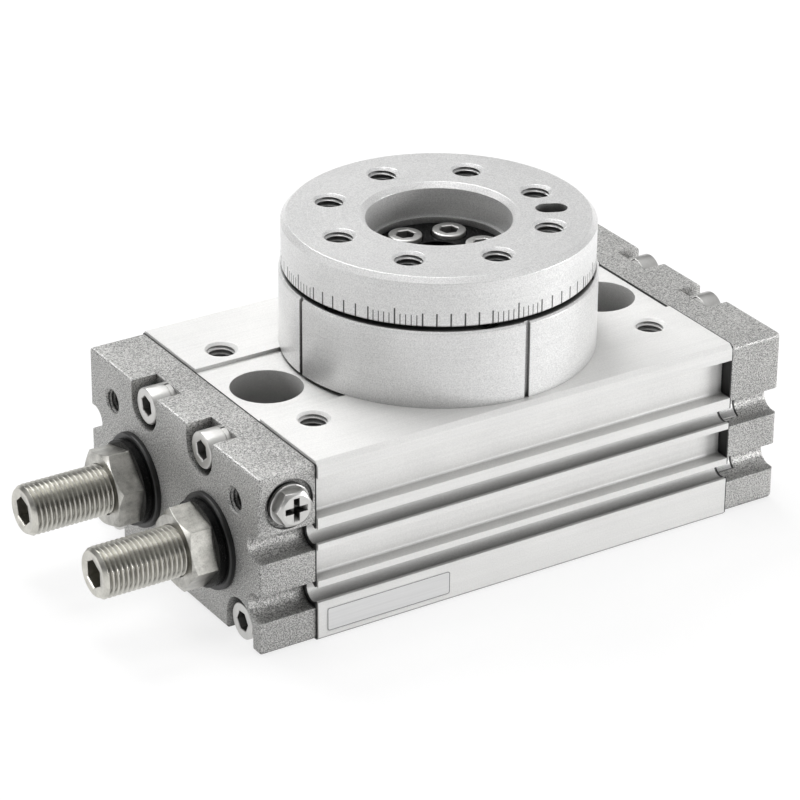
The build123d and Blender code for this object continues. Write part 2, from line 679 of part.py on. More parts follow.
for name, side in SIDES:
    # A pinion tooth points at the left rack's middle, a pinion gap at the right one's
    phase = 0.5 if side > 0 else 0.0
    pitch = math.pi * MODULE
    slope = math.tan(math.radians(PRESSURE_ANGLE))
    with BuildPart() as piston:
        with BuildSketch(Plane.YZ.offset(-PISTON_LENGTH / 2)):
            with Locations((side * CYLINDER_Y, BORE_HEIGHT)):
                Circle(PISTON_RADIUS)
        extrude(amount=PISTON_LENGTH)
        chamfer(piston.edges().group_by(Axis.X)[0], 0.8)
        chamfer(piston.edges().group_by(Axis.X)[-1], 0.8)
        # Flat along the rack, then the gaps between its teeth
        with BuildSketch(Plane.XY.offset(BORE_HEIGHT)):
            with Locations((0, side * RACK_TIP / 2)):
                Rectangle(2 * HEAD_START, RACK_TIP)
        extrude(amount=BORE / 2, both=True, mode=Mode.SUBTRACT)
        with BuildSketch(Plane.XY.offset(BORE_HEIGHT)):
            for tooth in range(-RACK_TEETH // 2, RACK_TEETH // 2 + 1):
                x = (tooth + 0.5 - phase) * pitch
                gap = pitch / 4 + BACKLASH / 4
                with BuildLine():
                    Polyline(
                        (x - gap - RACK_ADDENDUM * slope, side * RACK_TIP),
                        (x + gap + RACK_ADDENDUM * slope, side * RACK_TIP),
                        (x + gap - 1.25 * MODULE * slope, side * RACK_ROOT),
                        (x - gap + 1.25 * MODULE * slope, side * RACK_ROOT),
                        close=True,
                    )
                make_face()
        extrude(amount=BORE / 2, both=True, mode=Mode.SUBTRACT)
        for end in (-1, 1):
            add(groove_band(*WEAR_RING, side, end), mode=Mode.SUBTRACT)
            add(groove_band(*PISTON_SEAL, side, end), mode=Mode.SUBTRACT)
        add(groove_band(*MAGNET, side, 1), mode=Mode.SUBTRACT)
    save(piston, f"rack_piston_{name}")

    with BuildPart() as wear_rings:
        for end in (-1, 1):
            add(fitted_band(*WEAR_RING, side, end))
    save(wear_rings, f"wear_rings_{name}")

    with BuildPart() as seals:
        for end in (-1, 1):
            add(fitted_band(*PISTON_SEAL, side, end))
    save(seals, f"piston_seals_{name}")

    with BuildPart() as magnet:
        add(fitted_band(*MAGNET, side, 1))
    save(magnet, f"sensor_magnet_{name}")


# Pinion shaft: involute teeth, two journals and the flange that carries the table

TIP_RADIUS = PITCH_RADIUS + MODULE
ROOT_RADIUS = PITCH_RADIUS - 1.25 * MODULE
BASE_RADIUS = PITCH_RADIUS * math.cos(math.radians(PRESSURE_ANGLE))
DISC_TOP = 55.1
DISC_RADIUS = 13.1
WEB_TOP = 50.0
TABLE_SCREW_PCD = 17.5
TABLE_SCREWS = 6
TABLE_SCREW_TURN = TABLE_TURN - 13.0
TABLE_SCREW = 4.0
TABLE_SCREW_HEAD = 6.6
TABLE_SCREW_SEAT = 51.9
TABLE_SCREW_LENGTH = 12.0
PIN_RADIUS = 1.5
PIN_DEPTH = 3.8
PIN_TURN = TABLE_SCREW_TURN + 30.0


def involute(radius):
    """Involute angle in radians at a radius, measured from where the curve starts."""
    angle = math.acos(BASE_RADIUS / radius)
    return math.tan(angle) - angle


def flank_point(radius, tooth_angle, hand):
    """Point of a tooth's flank at a radius; hand is 1 or -1 for the tooth's two sides."""
    half = (math.pi * MODULE / 2 - BACKLASH / 2) / (2 * PITCH_RADIUS)
    turn = half + involute(PITCH_RADIUS) - involute(max(radius, BASE_RADIUS))
    angle = tooth_angle + hand * turn
    return (radius * math.cos(angle), radius * math.sin(angle))


with BuildPart() as pinion_shaft:
    with BuildSketch(Plane.XZ):
        with BuildLine():
            Polyline(
                (0, SHAFT_END),
                (LOWER_BORE - SEAT_FIT, SHAFT_END),
                (LOWER_BORE - SEAT_FIT, LOWER_TOP),
                (LOWER_BORE + 0.8, LOWER_TOP),
                (LOWER_BORE + 0.8, GEAR_BASE),
                (ROOT_RADIUS, GEAR_BASE),
                (ROOT_RADIUS, GEAR_TOP),
                (NECK_RADIUS, GEAR_TOP),
                (NECK_RADIUS, SHOULDER_BASE),
                (SHOULDER_RADIUS, SHOULDER_BASE),
                (SHOULDER_RADIUS, UPPER_BASE),
                (UPPER_BORE - SEAT_FIT, UPPER_BASE),
                (UPPER_BORE - SEAT_FIT, UPPER_TOP),
                (0, UPPER_TOP),
                close=True,
            )
        make_face()
    revolve(axis=Axis.Z)
    with BuildSketch(Plane.XY.offset(GEAR_BASE)):
        for tooth in range(TEETH):
            tooth_angle = math.pi / 2 + 2 * math.pi * tooth / TEETH
            radii = [BASE_RADIUS + (TIP_RADIUS - BASE_RADIUS) * step / 4 for step in range(5)]
            rising = [flank_point(radius, tooth_angle, -1) for radius in radii]
            falling = [flank_point(radius, tooth_angle, 1) for radius in reversed(radii)]
            with BuildLine():
                Line(flank_point(ROOT_RADIUS - 0.3, tooth_angle, -1), rising[0])
                Spline(*rising)
                Line(rising[-1], falling[0])
                Spline(*falling)
                Line(falling[-1], flank_point(ROOT_RADIUS - 0.3, tooth_angle, 1))
                Line(
                    flank_point(ROOT_RADIUS - 0.3, tooth_angle, 1),
                    flank_point(ROOT_RADIUS - 0.3, tooth_angle, -1),
                )
            make_face()
    extrude(amount=GEAR_TOP - GEAR_BASE)
    with BuildSketch(Plane.XY):
        Circle(HOLLOW_SHAFT / 2)
    extrude(amount=UPPER_TOP, mode=Mode.SUBTRACT)
    with BuildSketch(Plane.XY.offset(UPPER_TOP)):
        with PolarLocations(TABLE_SCREW_PCD / 2, TABLE_SCREWS, TABLE_SCREW_TURN):
            Circle(TABLE_SCREW / 2 + THREAD_FIT)
    extrude(amount=-(TABLE_SCREW_LENGTH - TABLE_SCREW_SEAT + UPPER_TOP + 1), mode=Mode.SUBTRACT)
    with BuildSketch(Plane.XY.offset(UPPER_TOP)):
        with PolarLocations(TABLE_SCREW_PCD / 2, 1, PIN_TURN):
            Circle(PIN_RADIUS + SEAT_FIT)
    extrude(amount=-PIN_DEPTH - LOOSE_FIT, mode=Mode.SUBTRACT)
save(pinion_shaft, "pinion_shaft")


# Table and what fastens it to the shaft

TABLE_CHAMFER = 1.0
HUB_RADIUS = 17.0
SLOT_WIDTH = 4.2
SLOT_LENGTH = 6.2
TABLE_THREAD_DEPTH = 8.6

with BuildPart() as table:
    with BuildSketch(Plane.XZ):
        with BuildLine():
            Polyline(
                (HOLLOW_SHAFT / 2, UPPER_TOP),
                (HUB_RADIUS, UPPER_TOP),
                (HUB_RADIUS, TABLE_BASE),
                (TABLE_DIAMETER / 2 - 0.3, TABLE_BASE),
                (TABLE_DIAMETER / 2, TABLE_BASE + 0.3),
                (TABLE_DIAMETER / 2, TABLE_TOP - TABLE_CHAMFER),
                (TABLE_DIAMETER / 2 - TABLE_CHAMFER, TABLE_TOP),
                (TABLE_BORE / 2 + TABLE_CHAMFER, TABLE_TOP),
                (TABLE_BORE / 2, TABLE_TOP - TABLE_CHAMFER),
                (TABLE_BORE / 2, TABLE_TOP - TABLE_BORE_DEPTH),
                (DISC_RADIUS + 0.1, TABLE_TOP - TABLE_BORE_DEPTH),
                (DISC_RADIUS + 0.1, WEB_TOP),
                (HOLLOW_SHAFT / 2, WEB_TOP),
                close=True,
            )
        make_face()
    revolve(axis=Axis.Z)
    with Locations(Plane.XY.offset(TABLE_TOP)):
        with PolarLocations(TABLE_PCD / 2, TABLE_HOLES, TABLE_TURN):
            CounterSinkHole(TAP_M6 / 2, 3.25, depth=TABLE_THREAD_DEPTH, counter_sink_angle=90)
    # Positioning slot between two of the threaded holes, long along the radius
    with BuildSketch(Plane.XY.offset(TABLE_TOP)):
        with PolarLocations(TABLE_PCD / 2, 1, TABLE_TURN - 180 / TABLE_HOLES):
            SlotOverall(SLOT_LENGTH, SLOT_WIDTH)
    extrude(amount=-4.5, mode=Mode.SUBTRACT)
    with BuildSketch(Plane.XY.offset(UPPER_TOP)):
        with PolarLocations(TABLE_SCREW_PCD / 2, TABLE_SCREWS, TABLE_SCREW_TURN):
            Circle(TABLE_SCREW / 2 + LOOSE_FIT)
        with PolarLocations(TABLE_SCREW_PCD / 2, 1, PIN_TURN):
            Circle(PIN_RADIUS + SEAT_FIT)
    extrude(amount=WEB_TOP - UPPER_TOP, mode=Mode.SUBTRACT)
save(table, "table")

with BuildPart() as clamp_disc:
    with BuildSketch(Plane.XY.offset(WEB_TOP)):
        Circle(DISC_RADIUS)
        Circle(HOLLOW_SHAFT / 2, mode=Mode.SUBTRACT)
        with PolarLocations(TABLE_SCREW_PCD / 2, TABLE_SCREWS, TABLE_SCREW_TURN):
            Circle(TABLE_SCREW / 2 + LOOSE_FIT, mode=Mode.SUBTRACT)
    extrude(amount=DISC_TOP - WEB_TOP)
    with BuildSketch(Plane.XY.offset(TABLE_SCREW_SEAT)):
        with PolarLocations(TABLE_SCREW_PCD / 2, TABLE_SCREWS, TABLE_SCREW_TURN):
            Circle(TABLE_SCREW_HEAD / 2 + LOOSE_FIT)
    extrude(amount=DISC_TOP - TABLE_SCREW_SEAT, mode=Mode.SUBTRACT)
save(clamp_disc, "clamp_disc")

table_screw = cap_screw(TABLE_SCREW, TABLE_SCREW_HEAD, TABLE_SCREW, TABLE_SCREW_LENGTH, 3.0)
with BuildPart() as table_screws:
    with PolarLocations(TABLE_SCREW_PCD / 2, TABLE_SCREWS, TABLE_SCREW_TURN):
        with Locations((0, 0, TABLE_SCREW_SEAT)):
            add(table_screw)
save(table_screws, "table_screws")

with BuildPart() as parallel_pin:
    with BuildSketch(Plane.XY.offset(UPPER_TOP - PIN_DEPTH)):
        with PolarLocations(TABLE_SCREW_PCD / 2, 1, PIN_TURN):
            Circle(PIN_RADIUS)
    extrude(amount=WEB_TOP - UPPER_TOP + PIN_DEPTH - LOOSE_FIT / 2)
save(parallel_pin, "parallel_pin")


# Ring that retains the upper bearing, with the two index slots. It stands on the
# body's top face, so a low gap shows below it where it spans the top recess.

INDEX_SLOT = 1.0
INDEX_DEPTH = 0.7
LIP_BORE = 18.6

with BuildPart() as bearing_retainer:
    with BuildSketch(Plane.XZ):
        with BuildLine():
            Polyline(
                (UPPER_OUTER + SEAT_FIT, BODY_HEIGHT),
                (RING_DIAMETER / 2, BODY_HEIGHT),
                (RING_DIAMETER / 2, RING_TOP - 0.4),
                (RING_DIAMETER / 2 - 0.4, RING_TOP),
                (LIP_BORE, RING_TOP),
                (LIP_BORE, UPPER_TOP),
                (UPPER_OUTER + SEAT_FIT, UPPER_TOP),
                close=True,
            )
        make_face()
    revolve(axis=Axis.Z)
    with BuildSketch(Plane.XY.offset(BODY_HEIGHT)):
        for x, y in ((-RING_DIAMETER / 2, 0), (0, -RING_DIAMETER / 2)):
            with Locations((x, y)):
                Rectangle(
                    2 * INDEX_DEPTH if x else INDEX_SLOT,
                    2 * INDEX_DEPTH if y else INDEX_SLOT,
                )
    extrude(amount=RING_TOP - BODY_HEIGHT, mode=Mode.SUBTRACT)
    with BuildSketch(Plane.XY.offset(BODY_HEIGHT)):
        with PolarLocations(RETAINER_SCREW_PCD / 2, RETAINER_SCREWS, RETAINER_SCREW_TURN):
            Circle(RETAINER_SCREW / 2 + LOOSE_FIT)
    extrude(amount=RING_TOP - BODY_HEIGHT, mode=Mode.SUBTRACT)
    with BuildSketch(Plane.XY.offset(RETAINER_SCREW_SEAT)):
        with PolarLocations(RETAINER_SCREW_PCD / 2, RETAINER_SCREWS, RETAINER_SCREW_TURN):
            Circle(RETAINER_SCREW_HEAD / 2 + LOOSE_FIT)
    extrude(amount=RING_TOP - RETAINER_SCREW_SEAT, mode=Mode.SUBTRACT)
save(bearing_retainer, "bearing_retainer")

retainer_screw = cap_screw(
    RETAINER_SCREW, RETAINER_SCREW_HEAD, RETAINER_SCREW, RETAINER_SCREW_LENGTH, 2.5
)
with BuildPart() as retainer_screws:
    with PolarLocations(RETAINER_SCREW_PCD / 2, RETAINER_SCREWS, RETAINER_SCREW_TURN):
        with Locations((0, 0, RETAINER_SCREW_SEAT)):
            add(retainer_screw)
save(retainer_screws, "retainer_screws")


# Ball bearings: rings with raceways, balls and cage

RACE_GAP = 0.04


def bearing(label, bore, outer, ball, count, base, width):
    """Writes the four nodes of a ball bearing about Z."""
    pitch = (bore + outer) / 2
    middle = base + width / 2
    land = ball * 0.66
    with BuildPart() as inner_ring:
        with BuildSketch(Plane.XZ) as section:
            with Locations(((bore + pitch - land) / 2, middle)):
                Rectangle(pitch - land - bore, width)
            chamfer(section.vertices(), 0.1 * ball)
            with Locations((pitch, middle)):
                Circle(ball + RACE_GAP, mode=Mode.SUBTRACT)
        revolve(axis=Axis.Z)
    save(inner_ring, f"{label}_inner_ring")

    with BuildPart() as outer_ring:
        with BuildSketch(Plane.XZ) as section:
            with Locations(((outer + pitch + land) / 2, middle)):
                Rectangle(outer - pitch - land, width)
            chamfer(section.vertices(), 0.1 * ball)
            with Locations((pitch, middle)):
                Circle(ball + RACE_GAP, mode=Mode.SUBTRACT)
        revolve(axis=Axis.Z)
    save(outer_ring, f"{label}_outer_ring")

    with BuildPart() as balls:
        with Locations((0, 0, middle)):
            with PolarLocations(pitch, count):
                Sphere(ball)
    save(balls, f"{label}_balls")

    with BuildPart() as cage:
        with BuildSketch(Plane.XY.offset(middle - 1.25 * ball)):
            Circle(pitch + 0.4 * ball)
            Circle(pitch - 0.4 * ball, mode=Mode.SUBTRACT)
        extrude(amount=2.5 * ball)
        with Locations((0, 0, middle)):
            with PolarLocations(pitch, count):
                Cylinder(ball + RACE_GAP, ball, rotation=(0, 90, 0), mode=Mode.SUBTRACT)
    save(cage, f"{label}_cage")


bearing("upper_bearing", UPPER_BORE, UPPER_OUTER, UPPER_BALL, UPPER_BALLS, UPPER_BASE, UPPER_WIDTH)
bearing("lower_bearing", LOWER_BORE, LOWER_OUTER, LOWER_BALL, LOWER_BALLS, LOWER_BASE, LOWER_WIDTH)
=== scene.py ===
"""Looks of a pneumatic rotary table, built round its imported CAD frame.

Metres. +Z is up, the adjusting bolts point along -X, and the origin is the centre of
the base on the table's axis. Pieces that need threads, marks or finer edges than the
CAD solids have are made here; the rest of the frame keeps its meshes and gets finishes.
"""
import json
import math

import bmesh
import bpy
from mathutils import Matrix, Vector


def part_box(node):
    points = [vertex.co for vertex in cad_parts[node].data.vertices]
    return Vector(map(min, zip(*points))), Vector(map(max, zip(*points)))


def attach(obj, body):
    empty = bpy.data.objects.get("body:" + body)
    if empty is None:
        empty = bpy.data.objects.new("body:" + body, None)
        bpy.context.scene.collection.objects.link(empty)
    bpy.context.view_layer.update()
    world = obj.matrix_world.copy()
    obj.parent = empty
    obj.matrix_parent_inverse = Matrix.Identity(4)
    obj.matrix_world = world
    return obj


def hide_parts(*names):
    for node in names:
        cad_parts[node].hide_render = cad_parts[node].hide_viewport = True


MM = 0.001
QUARTER_TURN = math.pi / 2
FULL_TURN = 2 * math.pi

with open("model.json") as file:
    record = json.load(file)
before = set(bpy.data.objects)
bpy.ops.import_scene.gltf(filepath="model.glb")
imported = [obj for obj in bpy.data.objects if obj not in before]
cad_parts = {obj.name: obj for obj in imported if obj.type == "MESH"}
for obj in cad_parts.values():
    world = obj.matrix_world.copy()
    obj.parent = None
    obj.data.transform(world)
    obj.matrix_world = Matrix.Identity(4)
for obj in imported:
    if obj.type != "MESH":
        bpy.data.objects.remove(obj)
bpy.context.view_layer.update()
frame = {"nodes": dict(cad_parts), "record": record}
body_low, body_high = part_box("body_block")
table_low, table_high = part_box("table")


# Node trees

class Wire:
    """A socket in an expression: each sum, product or comparison adds its Math node."""

    def __init__(self, tree, socket):
        self.tree = tree
        self.socket = socket

    def maths(self, operation, first, second=0.0):
        """One Math node on two numbers or wires."""
        return self.tree.add("ShaderNodeMath", {"operation": operation}, {0: first, 1: second})

    def __add__(self, other):
        return self.maths("ADD", self, other)

    def __radd__(self, other):
        return self.maths("ADD", other, self)

    def __sub__(self, other):
        return self.maths("SUBTRACT", self, other)

    def __rsub__(self, other):
        return self.maths("SUBTRACT", other, self)

    def __mul__(self, other):
        return self.maths("MULTIPLY", self, other)

    def __rmul__(self, other):
        return self.maths("MULTIPLY", other, self)

    def __truediv__(self, other):
        return self.maths("DIVIDE", self, other)

    def __rtruediv__(self, other):
        return self.maths("DIVIDE", other, self)

    def __mod__(self, other):
        return self.maths("FLOORED_MODULO", self, other)

    def __rmod__(self, other):
        return self.maths("FLOORED_MODULO", other, self)

    def __pow__(self, other):
        return self.maths("POWER", self, other)

    def __rpow__(self, other):
        return self.maths("POWER", other, self)

    def __gt__(self, other):
        return self.maths("GREATER_THAN", self, other)

    def __lt__(self, other):
        return self.maths("LESS_THAN", self, other)

    def __abs__(self):
        return self.maths("ABSOLUTE", self)

    def least(self, other):
        return self.maths("MINIMUM", self, other)

    def most(self, other):
        return self.maths("MAXIMUM", self, other)

    def clipped(self):
        """Kept between 0 and 1."""
        return self.least(1.0).most(0.0)

    def cosine(self):
        return self.maths("COSINE", self)

    def sine(self):
        return self.maths("SINE", self)


class Tree:
    """A shader or geometry tree, built node by node."""

    def __init__(self, tree):
        self.tree = tree

    def add(self, kind, settings=(), inputs=(), output=0):
        """Adds a node: its settings, then the values or links of its sockets."""
        node = self.tree.nodes.new(kind)
        for name, value in dict(settings).items():
            setattr(node, name, value)
        for name, value in dict(inputs).items():
            if isinstance(value, Wire):
                self.tree.links.new(value.socket, node.inputs[name])
            else:
                node.inputs[name].default_value = value
        return Wire(self, node.outputs[output]) if node.outputs else None

    def outputs(self, kind, inputs=()):
        """Adds a node and gives each of its named outputs."""
        node = self.add(kind, (), inputs).socket.node
        return {socket.name: Wire(self, socket) for socket in node.outputs if socket.name}

    def split(self, vector):
        """The three parts of a vector."""
        return list(self.outputs("ShaderNodeSeparateXYZ", {0: vector}).values())

    def join(self, x=0.0, y=0.0, z=0.0):
        """A vector from its three parts."""
        return self.add("ShaderNodeCombineXYZ", (), {0: x, 1: y, 2: z})

    def noise(self, vector, scale, detail=2.0, roughness=0.5):
        """Cloudy numbers round 0.5; the scale is in clouds per metre."""
        sockets = {"Vector": vector, "Scale": scale, "Detail": detail, "Roughness": roughness}
        return self.add("ShaderNodeTexNoise", (), sockets)

    def ramp(self, value, low, high, first=0.0, last=1.0, smooth=False):
        """Goes from the first number to the last while a value goes from low to high."""
        sockets = {
            "Value": value, "From Min": low, "From Max": high, "To Min": first, "To Max": last,
        }
        settings = {"interpolation_type": "SMOOTHSTEP" if smooth else "LINEAR"}
        return self.add("ShaderNodeMapRange", settings, sockets)

    def tint(self, factor, first, second):
        """A colour between two, each a colour or a wire."""
        first, second = (c if isinstance(c, Wire) else (*c, 1.0) for c in (first, second))
        return self.add("ShaderNodeMix", {"data_type": "RGBA"}, {0: factor, 6: first, 7: second}, 2)


# Finishes

EDGE, EDGE_SAMPLES = 0.16 * MM, 4
RECESS_SAMPLES = 8
# Width of the painted shadow line along the body's end at the far cover's joint
SHADOW_LINE_WIDTH = 0.22 * MM
WHITE = (1.0, 1.0, 1.0, 1.0)
WARM_RED, WARM_BLUE = 0.4, -1.6
FILM_LOW, FILM_HIGH = (-44.6 * MM, 1.5 * MM), (-17.7 * MM, 6.4 * MM)
FILM_ROUND = 0.6 * MM
FILM_LINE_OUTER, FILM_LINE_INNER = 0.10 * MM, 0.22 * MM


def grey(level, warmth=0.0):
    """A neutral colour, a little warm where warmth is above zero."""
    return (level * (1 + warmth * WARM_RED), level, level * (1 + warmth * WARM_BLUE))


def material(name):
    """An empty node material and its tree."""
    made = bpy.data.materials.new(name)
    made.use_nodes = True
    made.node_tree.nodes.clear()
    return made, Tree(made.node_tree)


def coordinates(tree):
    """A place on the piece, in metres from the object's origin."""
    return tree.add("ShaderNodeTexCoord", output="Object")


def stretched(tree, vector, scale):
    """A place with its own scale along each axis, for marks that run one way."""
    return tree.add("ShaderNodeMapping", (), {"Vector": vector, "Scale": scale})


def painted_hollow_shade(tree, colour, reach, shade_colour, closed=0.25, clear=0.8, alone=False):
    """Paints shade over a colour where the piece's own walls, or near pieces, stand round it."""
    around = {"samples": RECESS_SAMPLES, "only_local": alone}
    open_way = tree.add("ShaderNodeAmbientOcclusion", around, {"Distance": reach}, "AO")
    return tree.tint(tree.ramp(open_way, closed, clear), shade_colour, colour)


def surface(tree, colour, roughness, metallic, height=None, depth=0.0, edge=EDGE, sheen=0.5):
    """Ends a tree in a Principled surface whose edges catch the light."""
    normal = tree.add("ShaderNodeBevel", {"samples": EDGE_SAMPLES}, {"Radius": edge})
    if height is not None:
        sockets = {"Height": height, "Distance": depth, "Strength": 1.0, "Normal": normal}
        normal = tree.add("ShaderNodeBump", (), sockets)
    sockets = {
        "Base Color": colour,
        "Roughness": roughness,
        "Metallic": metallic,
        "Normal": normal,
        "Specular IOR Level": sheen,
    }
    shader = tree.add("ShaderNodeBsdfPrincipled", (), sockets)
    tree.add("ShaderNodeOutputMaterial", (), {"Surface": shader})


def anodised_extrusion():
    """Matte clear anodising over faint draw lines along X, with a painted shadow line at the far
    cover's joint and painted shade in its holes and beside near pieces.
    """
    made, tree = material("anodised_extrusion")
    place = coordinates(tree)
    x = tree.split(place)[0]
    lines = tree.noise(stretched(tree, place, (12, 1500, 1500)), 1.0, detail=3.0, roughness=0.6)
    bloom = tree.noise(place, 90, detail=3.0)
    grain = tree.noise(place, 3600, detail=3.0, roughness=0.8)
    shade = tree.ramp(lines * 0.2 + bloom * 0.2 + grain * 0.6, 0.35, 0.65)
    pale = tree.tint(shade, grey(0.70, 0.008), grey(0.86, 0.010))
    # Painted shadow line: a dark strip along the body's end at the far cover's joint.
    shadow_lined = tree.tint(x > body_high.x - SHADOW_LINE_WIDTH, pale, grey(0.06))
    # Painted shade in holes, hollows and beside near pieces such as the ring.
    colour = painted_hollow_shade(
        tree, shadow_lined, reach=16 * MM, shade_colour=grey(0.14, 0.008), closed=0.08, clear=0.50
    )
    surface(
        tree, colour, roughness=0.42 + grain * 0.16, metallic=0.30,
        height=lines * 0.3 + grain * 0.7, depth=0.016 * MM,
    )
    return made


def turned_anodised():
    """Matte clear anodising over the fine rings that turning leaves about Z, with painted shade in
    its bore and holes.
    """
    made, tree = material("turned_anodised")
    place = coordinates(tree)
    x, y, z = tree.split(place)
    radius = (x * x + y * y) ** 0.5
    rings = tree.noise(tree.join(radius, radius * 0.3, z), 3600, roughness=0.6)
    grain = tree.noise(place, 4200, detail=3.0, roughness=0.8)
    bloom = tree.noise(place, 70, detail=3.0)
    shade = tree.ramp(rings * 0.12 + grain * 0.78 + bloom * 0.10, 0.38, 0.62)
    pale = tree.tint(shade, grey(0.62, 0.002), grey(0.92, 0.004))
    # Painted shade in the bore, the tapped holes and beside near pieces.
    colour = painted_hollow_shade(
        tree, pale, reach=14 * MM, shade_colour=grey(0.08, 0.002), closed=0.20, clear=0.66
    )
    surface(
        tree, colour, roughness=0.30 + grain * 0.14, metallic=0.50,
        height=rings * 0.3 + grain * 0.7, depth=0.018 * MM,
    )
    return made


def blasted_casting():
    """Grey die casting, shot blasted: a salt and pepper grain of about 0.3 mm, with painted shade
    in its pockets and round the screw heads.
    """
    made, tree = material("blasted_casting")
    place = coordinates(tree)
    grain = tree.noise(place, 4000, detail=3.0, roughness=0.8)
    fleck = tree.noise(place, 1900, roughness=0.7)
    bloom = tree.noise(place, 60)
    shade = tree.ramp(grain * 0.75 + fleck * 0.15 + bloom * 0.1, 0.42, 0.58, smooth=True)
    speckle = tree.tint(shade, grey(0.17, 0.012), grey(0.66, 0.014))
    # Painted shade in the screw pockets and channels.
    colour = painted_hollow_shade(
        tree, speckle, reach=5 * MM, shade_colour=grey(0.04, 0.01), closed=0.10, clear=0.55
    )
    surface(
        tree, colour, roughness=0.52 - shade * 0.14, metallic=0.42,
        height=grain * 0.8 + fleck * 0.2, depth=0.05 * MM, edge=0.30 * MM,
    )
    return made


def plated(name, level, warmth, roughness, wear, dark=0.10):
    """Bright plated steel with a faint cloud of tarnish, and painted shade inside its recesses."""
    made, tree = material(name)
    place = coordinates(tree)
    cloud = tree.noise(place, 420, detail=4.0, roughness=0.6)
    grain = tree.noise(place, 4200)
    shade = tree.ramp(cloud * 0.7 + grain * 0.3, 0.35, 0.65)
    bright = tree.tint(shade, grey(level * (1 - wear), warmth), grey(level, warmth))
    # Painted shade in sockets and thread roots; dark sets how deep it goes.
    colour = painted_hollow_shade(
        tree, bright, reach=3 * MM, shade_colour=grey(level * dark, warmth), alone=True
    )
    surface(tree, colour, roughness + cloud * 0.12, metallic=1.0, height=grain, depth=0.002 * MM)
    return made


def soft_black(name, level, roughness, sheen=0.3):
    """Black rubber, resin or oxide, slightly uneven."""
    made, tree = material(name)
    place = coordinates(tree)
    cloud = tree.noise(place, 300, detail=3.0)
    grain = tree.noise(place, 3000)
    colour = tree.tint(cloud, grey(level * 0.6), grey(level * 1.4))
    surface(
        tree, colour, roughness + grain * 0.15, metallic=0.0,
        height=grain, depth=0.008 * MM, sheen=sheen,
    )
    return made


def clouded_resin(name, dark, light, roughness):
    """Coloured resin or urethane of the inner pieces."""
    made, tree = material(name)
    cloud = tree.noise(coordinates(tree), 500, detail=3.0)
    colour = tree.tint(cloud, dark, light)
    surface(tree, colour, roughness + cloud * 0.1, metallic=0.0, height=cloud, depth=0.01 * MM)
    return made


def engraved_line():
    """Dark filled engraving."""
    made, tree = material("engraved_line")
    cloud = tree.noise(coordinates(tree), 900)
    colour = tree.tint(cloud, grey(0.05), grey(0.11))
    surface(tree, colour, roughness=0.55 + cloud * 0.1, metallic=0.2, edge=0.01 * MM)
    return made


def bare_film():
    """Silver film, brushed along X, with a dark line just inside its rounded edge."""
    made, tree = material("bare_film")
    place = coordinates(tree)
    brush = tree.noise(stretched(tree, place, (60, 3000, 3000)), 1.0)
    silver = tree.tint(brush, grey(0.66), grey(0.80))
    x, _, z = tree.split(place)
    (left, low), (right, high) = FILM_LOW, FILM_HIGH
    over_x = abs(x - (left + right) / 2) - ((right - left) / 2 - FILM_ROUND)
    over_z = abs(z - (low + high) / 2) - ((high - low) / 2 - FILM_ROUND)
    corner = (over_x.most(0.0) ** 2 + over_z.most(0.0) ** 2) ** 0.5
    inside = FILM_ROUND - corner - over_x.most(over_z).least(0.0)
    line = (inside > FILM_LINE_OUTER) * (inside < FILM_LINE_INNER)
    colour = tree.tint(line, silver, grey(0.08))
    surface(tree, colour, 0.40 + brush * 0.12, metallic=0.3, height=brush, depth=0.004 * MM)
    return made


FINISH = {
    "extruded_aluminium": anodised_extrusion(),
    "cast_aluminium": blasted_casting(),
    "machined_aluminium": turned_anodised(),
    "black_rubber": soft_black("black_rubber", 0.006, roughness=0.30, sheen=0.45),
    "black_steel": soft_black("black_oxide", 0.002, roughness=0.18, sheen=0.16),
    "plated_steel": plated("bright_plate", 0.62, warmth=0.015, roughness=0.30, wear=0.12),
    "alloy_steel": plated("ground_alloy_steel", 0.50, warmth=0.0, roughness=0.28, wear=0.15),
    "stainless_steel": plated("ground_stainless", 0.62, warmth=0.006, roughness=0.22, wear=0.12),
    "bearing_steel": plated(
        "polished_bearing_steel", 0.74, warmth=0.0, roughness=0.08, wear=0.05
    ),
    "cage_steel": plated("pressed_cage_steel", 0.60, warmth=0.02, roughness=0.25, wear=0.15),
    "bearing_resin": clouded_resin(
        "bearing_resin", (0.25, 0.13, 0.06), (0.42, 0.25, 0.12), roughness=0.45
    ),
    "magnet_rubber": soft_black("bonded_magnet", 0.05, roughness=0.5),
    "cushion_urethane": clouded_resin(
        "cushion_urethane", (0.45, 0.30, 0.08), (0.62, 0.46, 0.16), roughness=0.4
    ),
}
ZINC = plated("zinc_plate", 0.64, warmth=0.050, roughness=0.24, wear=0.30, dark=0.16)
DULL_ZINC = plated("dull_zinc_plate", 0.56, warmth=0.040, roughness=0.26, wear=0.50)
ENGRAVED = engraved_line()
FILM = bare_film()

slot_of = {part["node"]: part["material_slot"] for part in frame["record"]["subparts"]}
for node, shown in frame["nodes"].items():
    shown.data.materials.clear()
    shown.data.materials.append(DULL_ZINC if node == "lock_nuts" else FINISH[slot_of[node]])


# Meshes

def mesh_object(name, points, faces, finish):
    """An object from its points and faces, with one finish."""
    mesh = bpy.data.meshes.new(name)
    mesh.from_pydata(points, [], faces)
    mesh.materials.append(finish)
    made = bpy.data.objects.new(name, mesh)
    bpy.context.scene.collection.objects.link(made)
    return made


def hexagon(angle, across):
    """Distance from the middle of a hexagon to its side, in the direction of an angle."""
    sixth = FULL_TURN / 6
    return across / 2 / math.cos((angle % sixth) - sixth / 2)


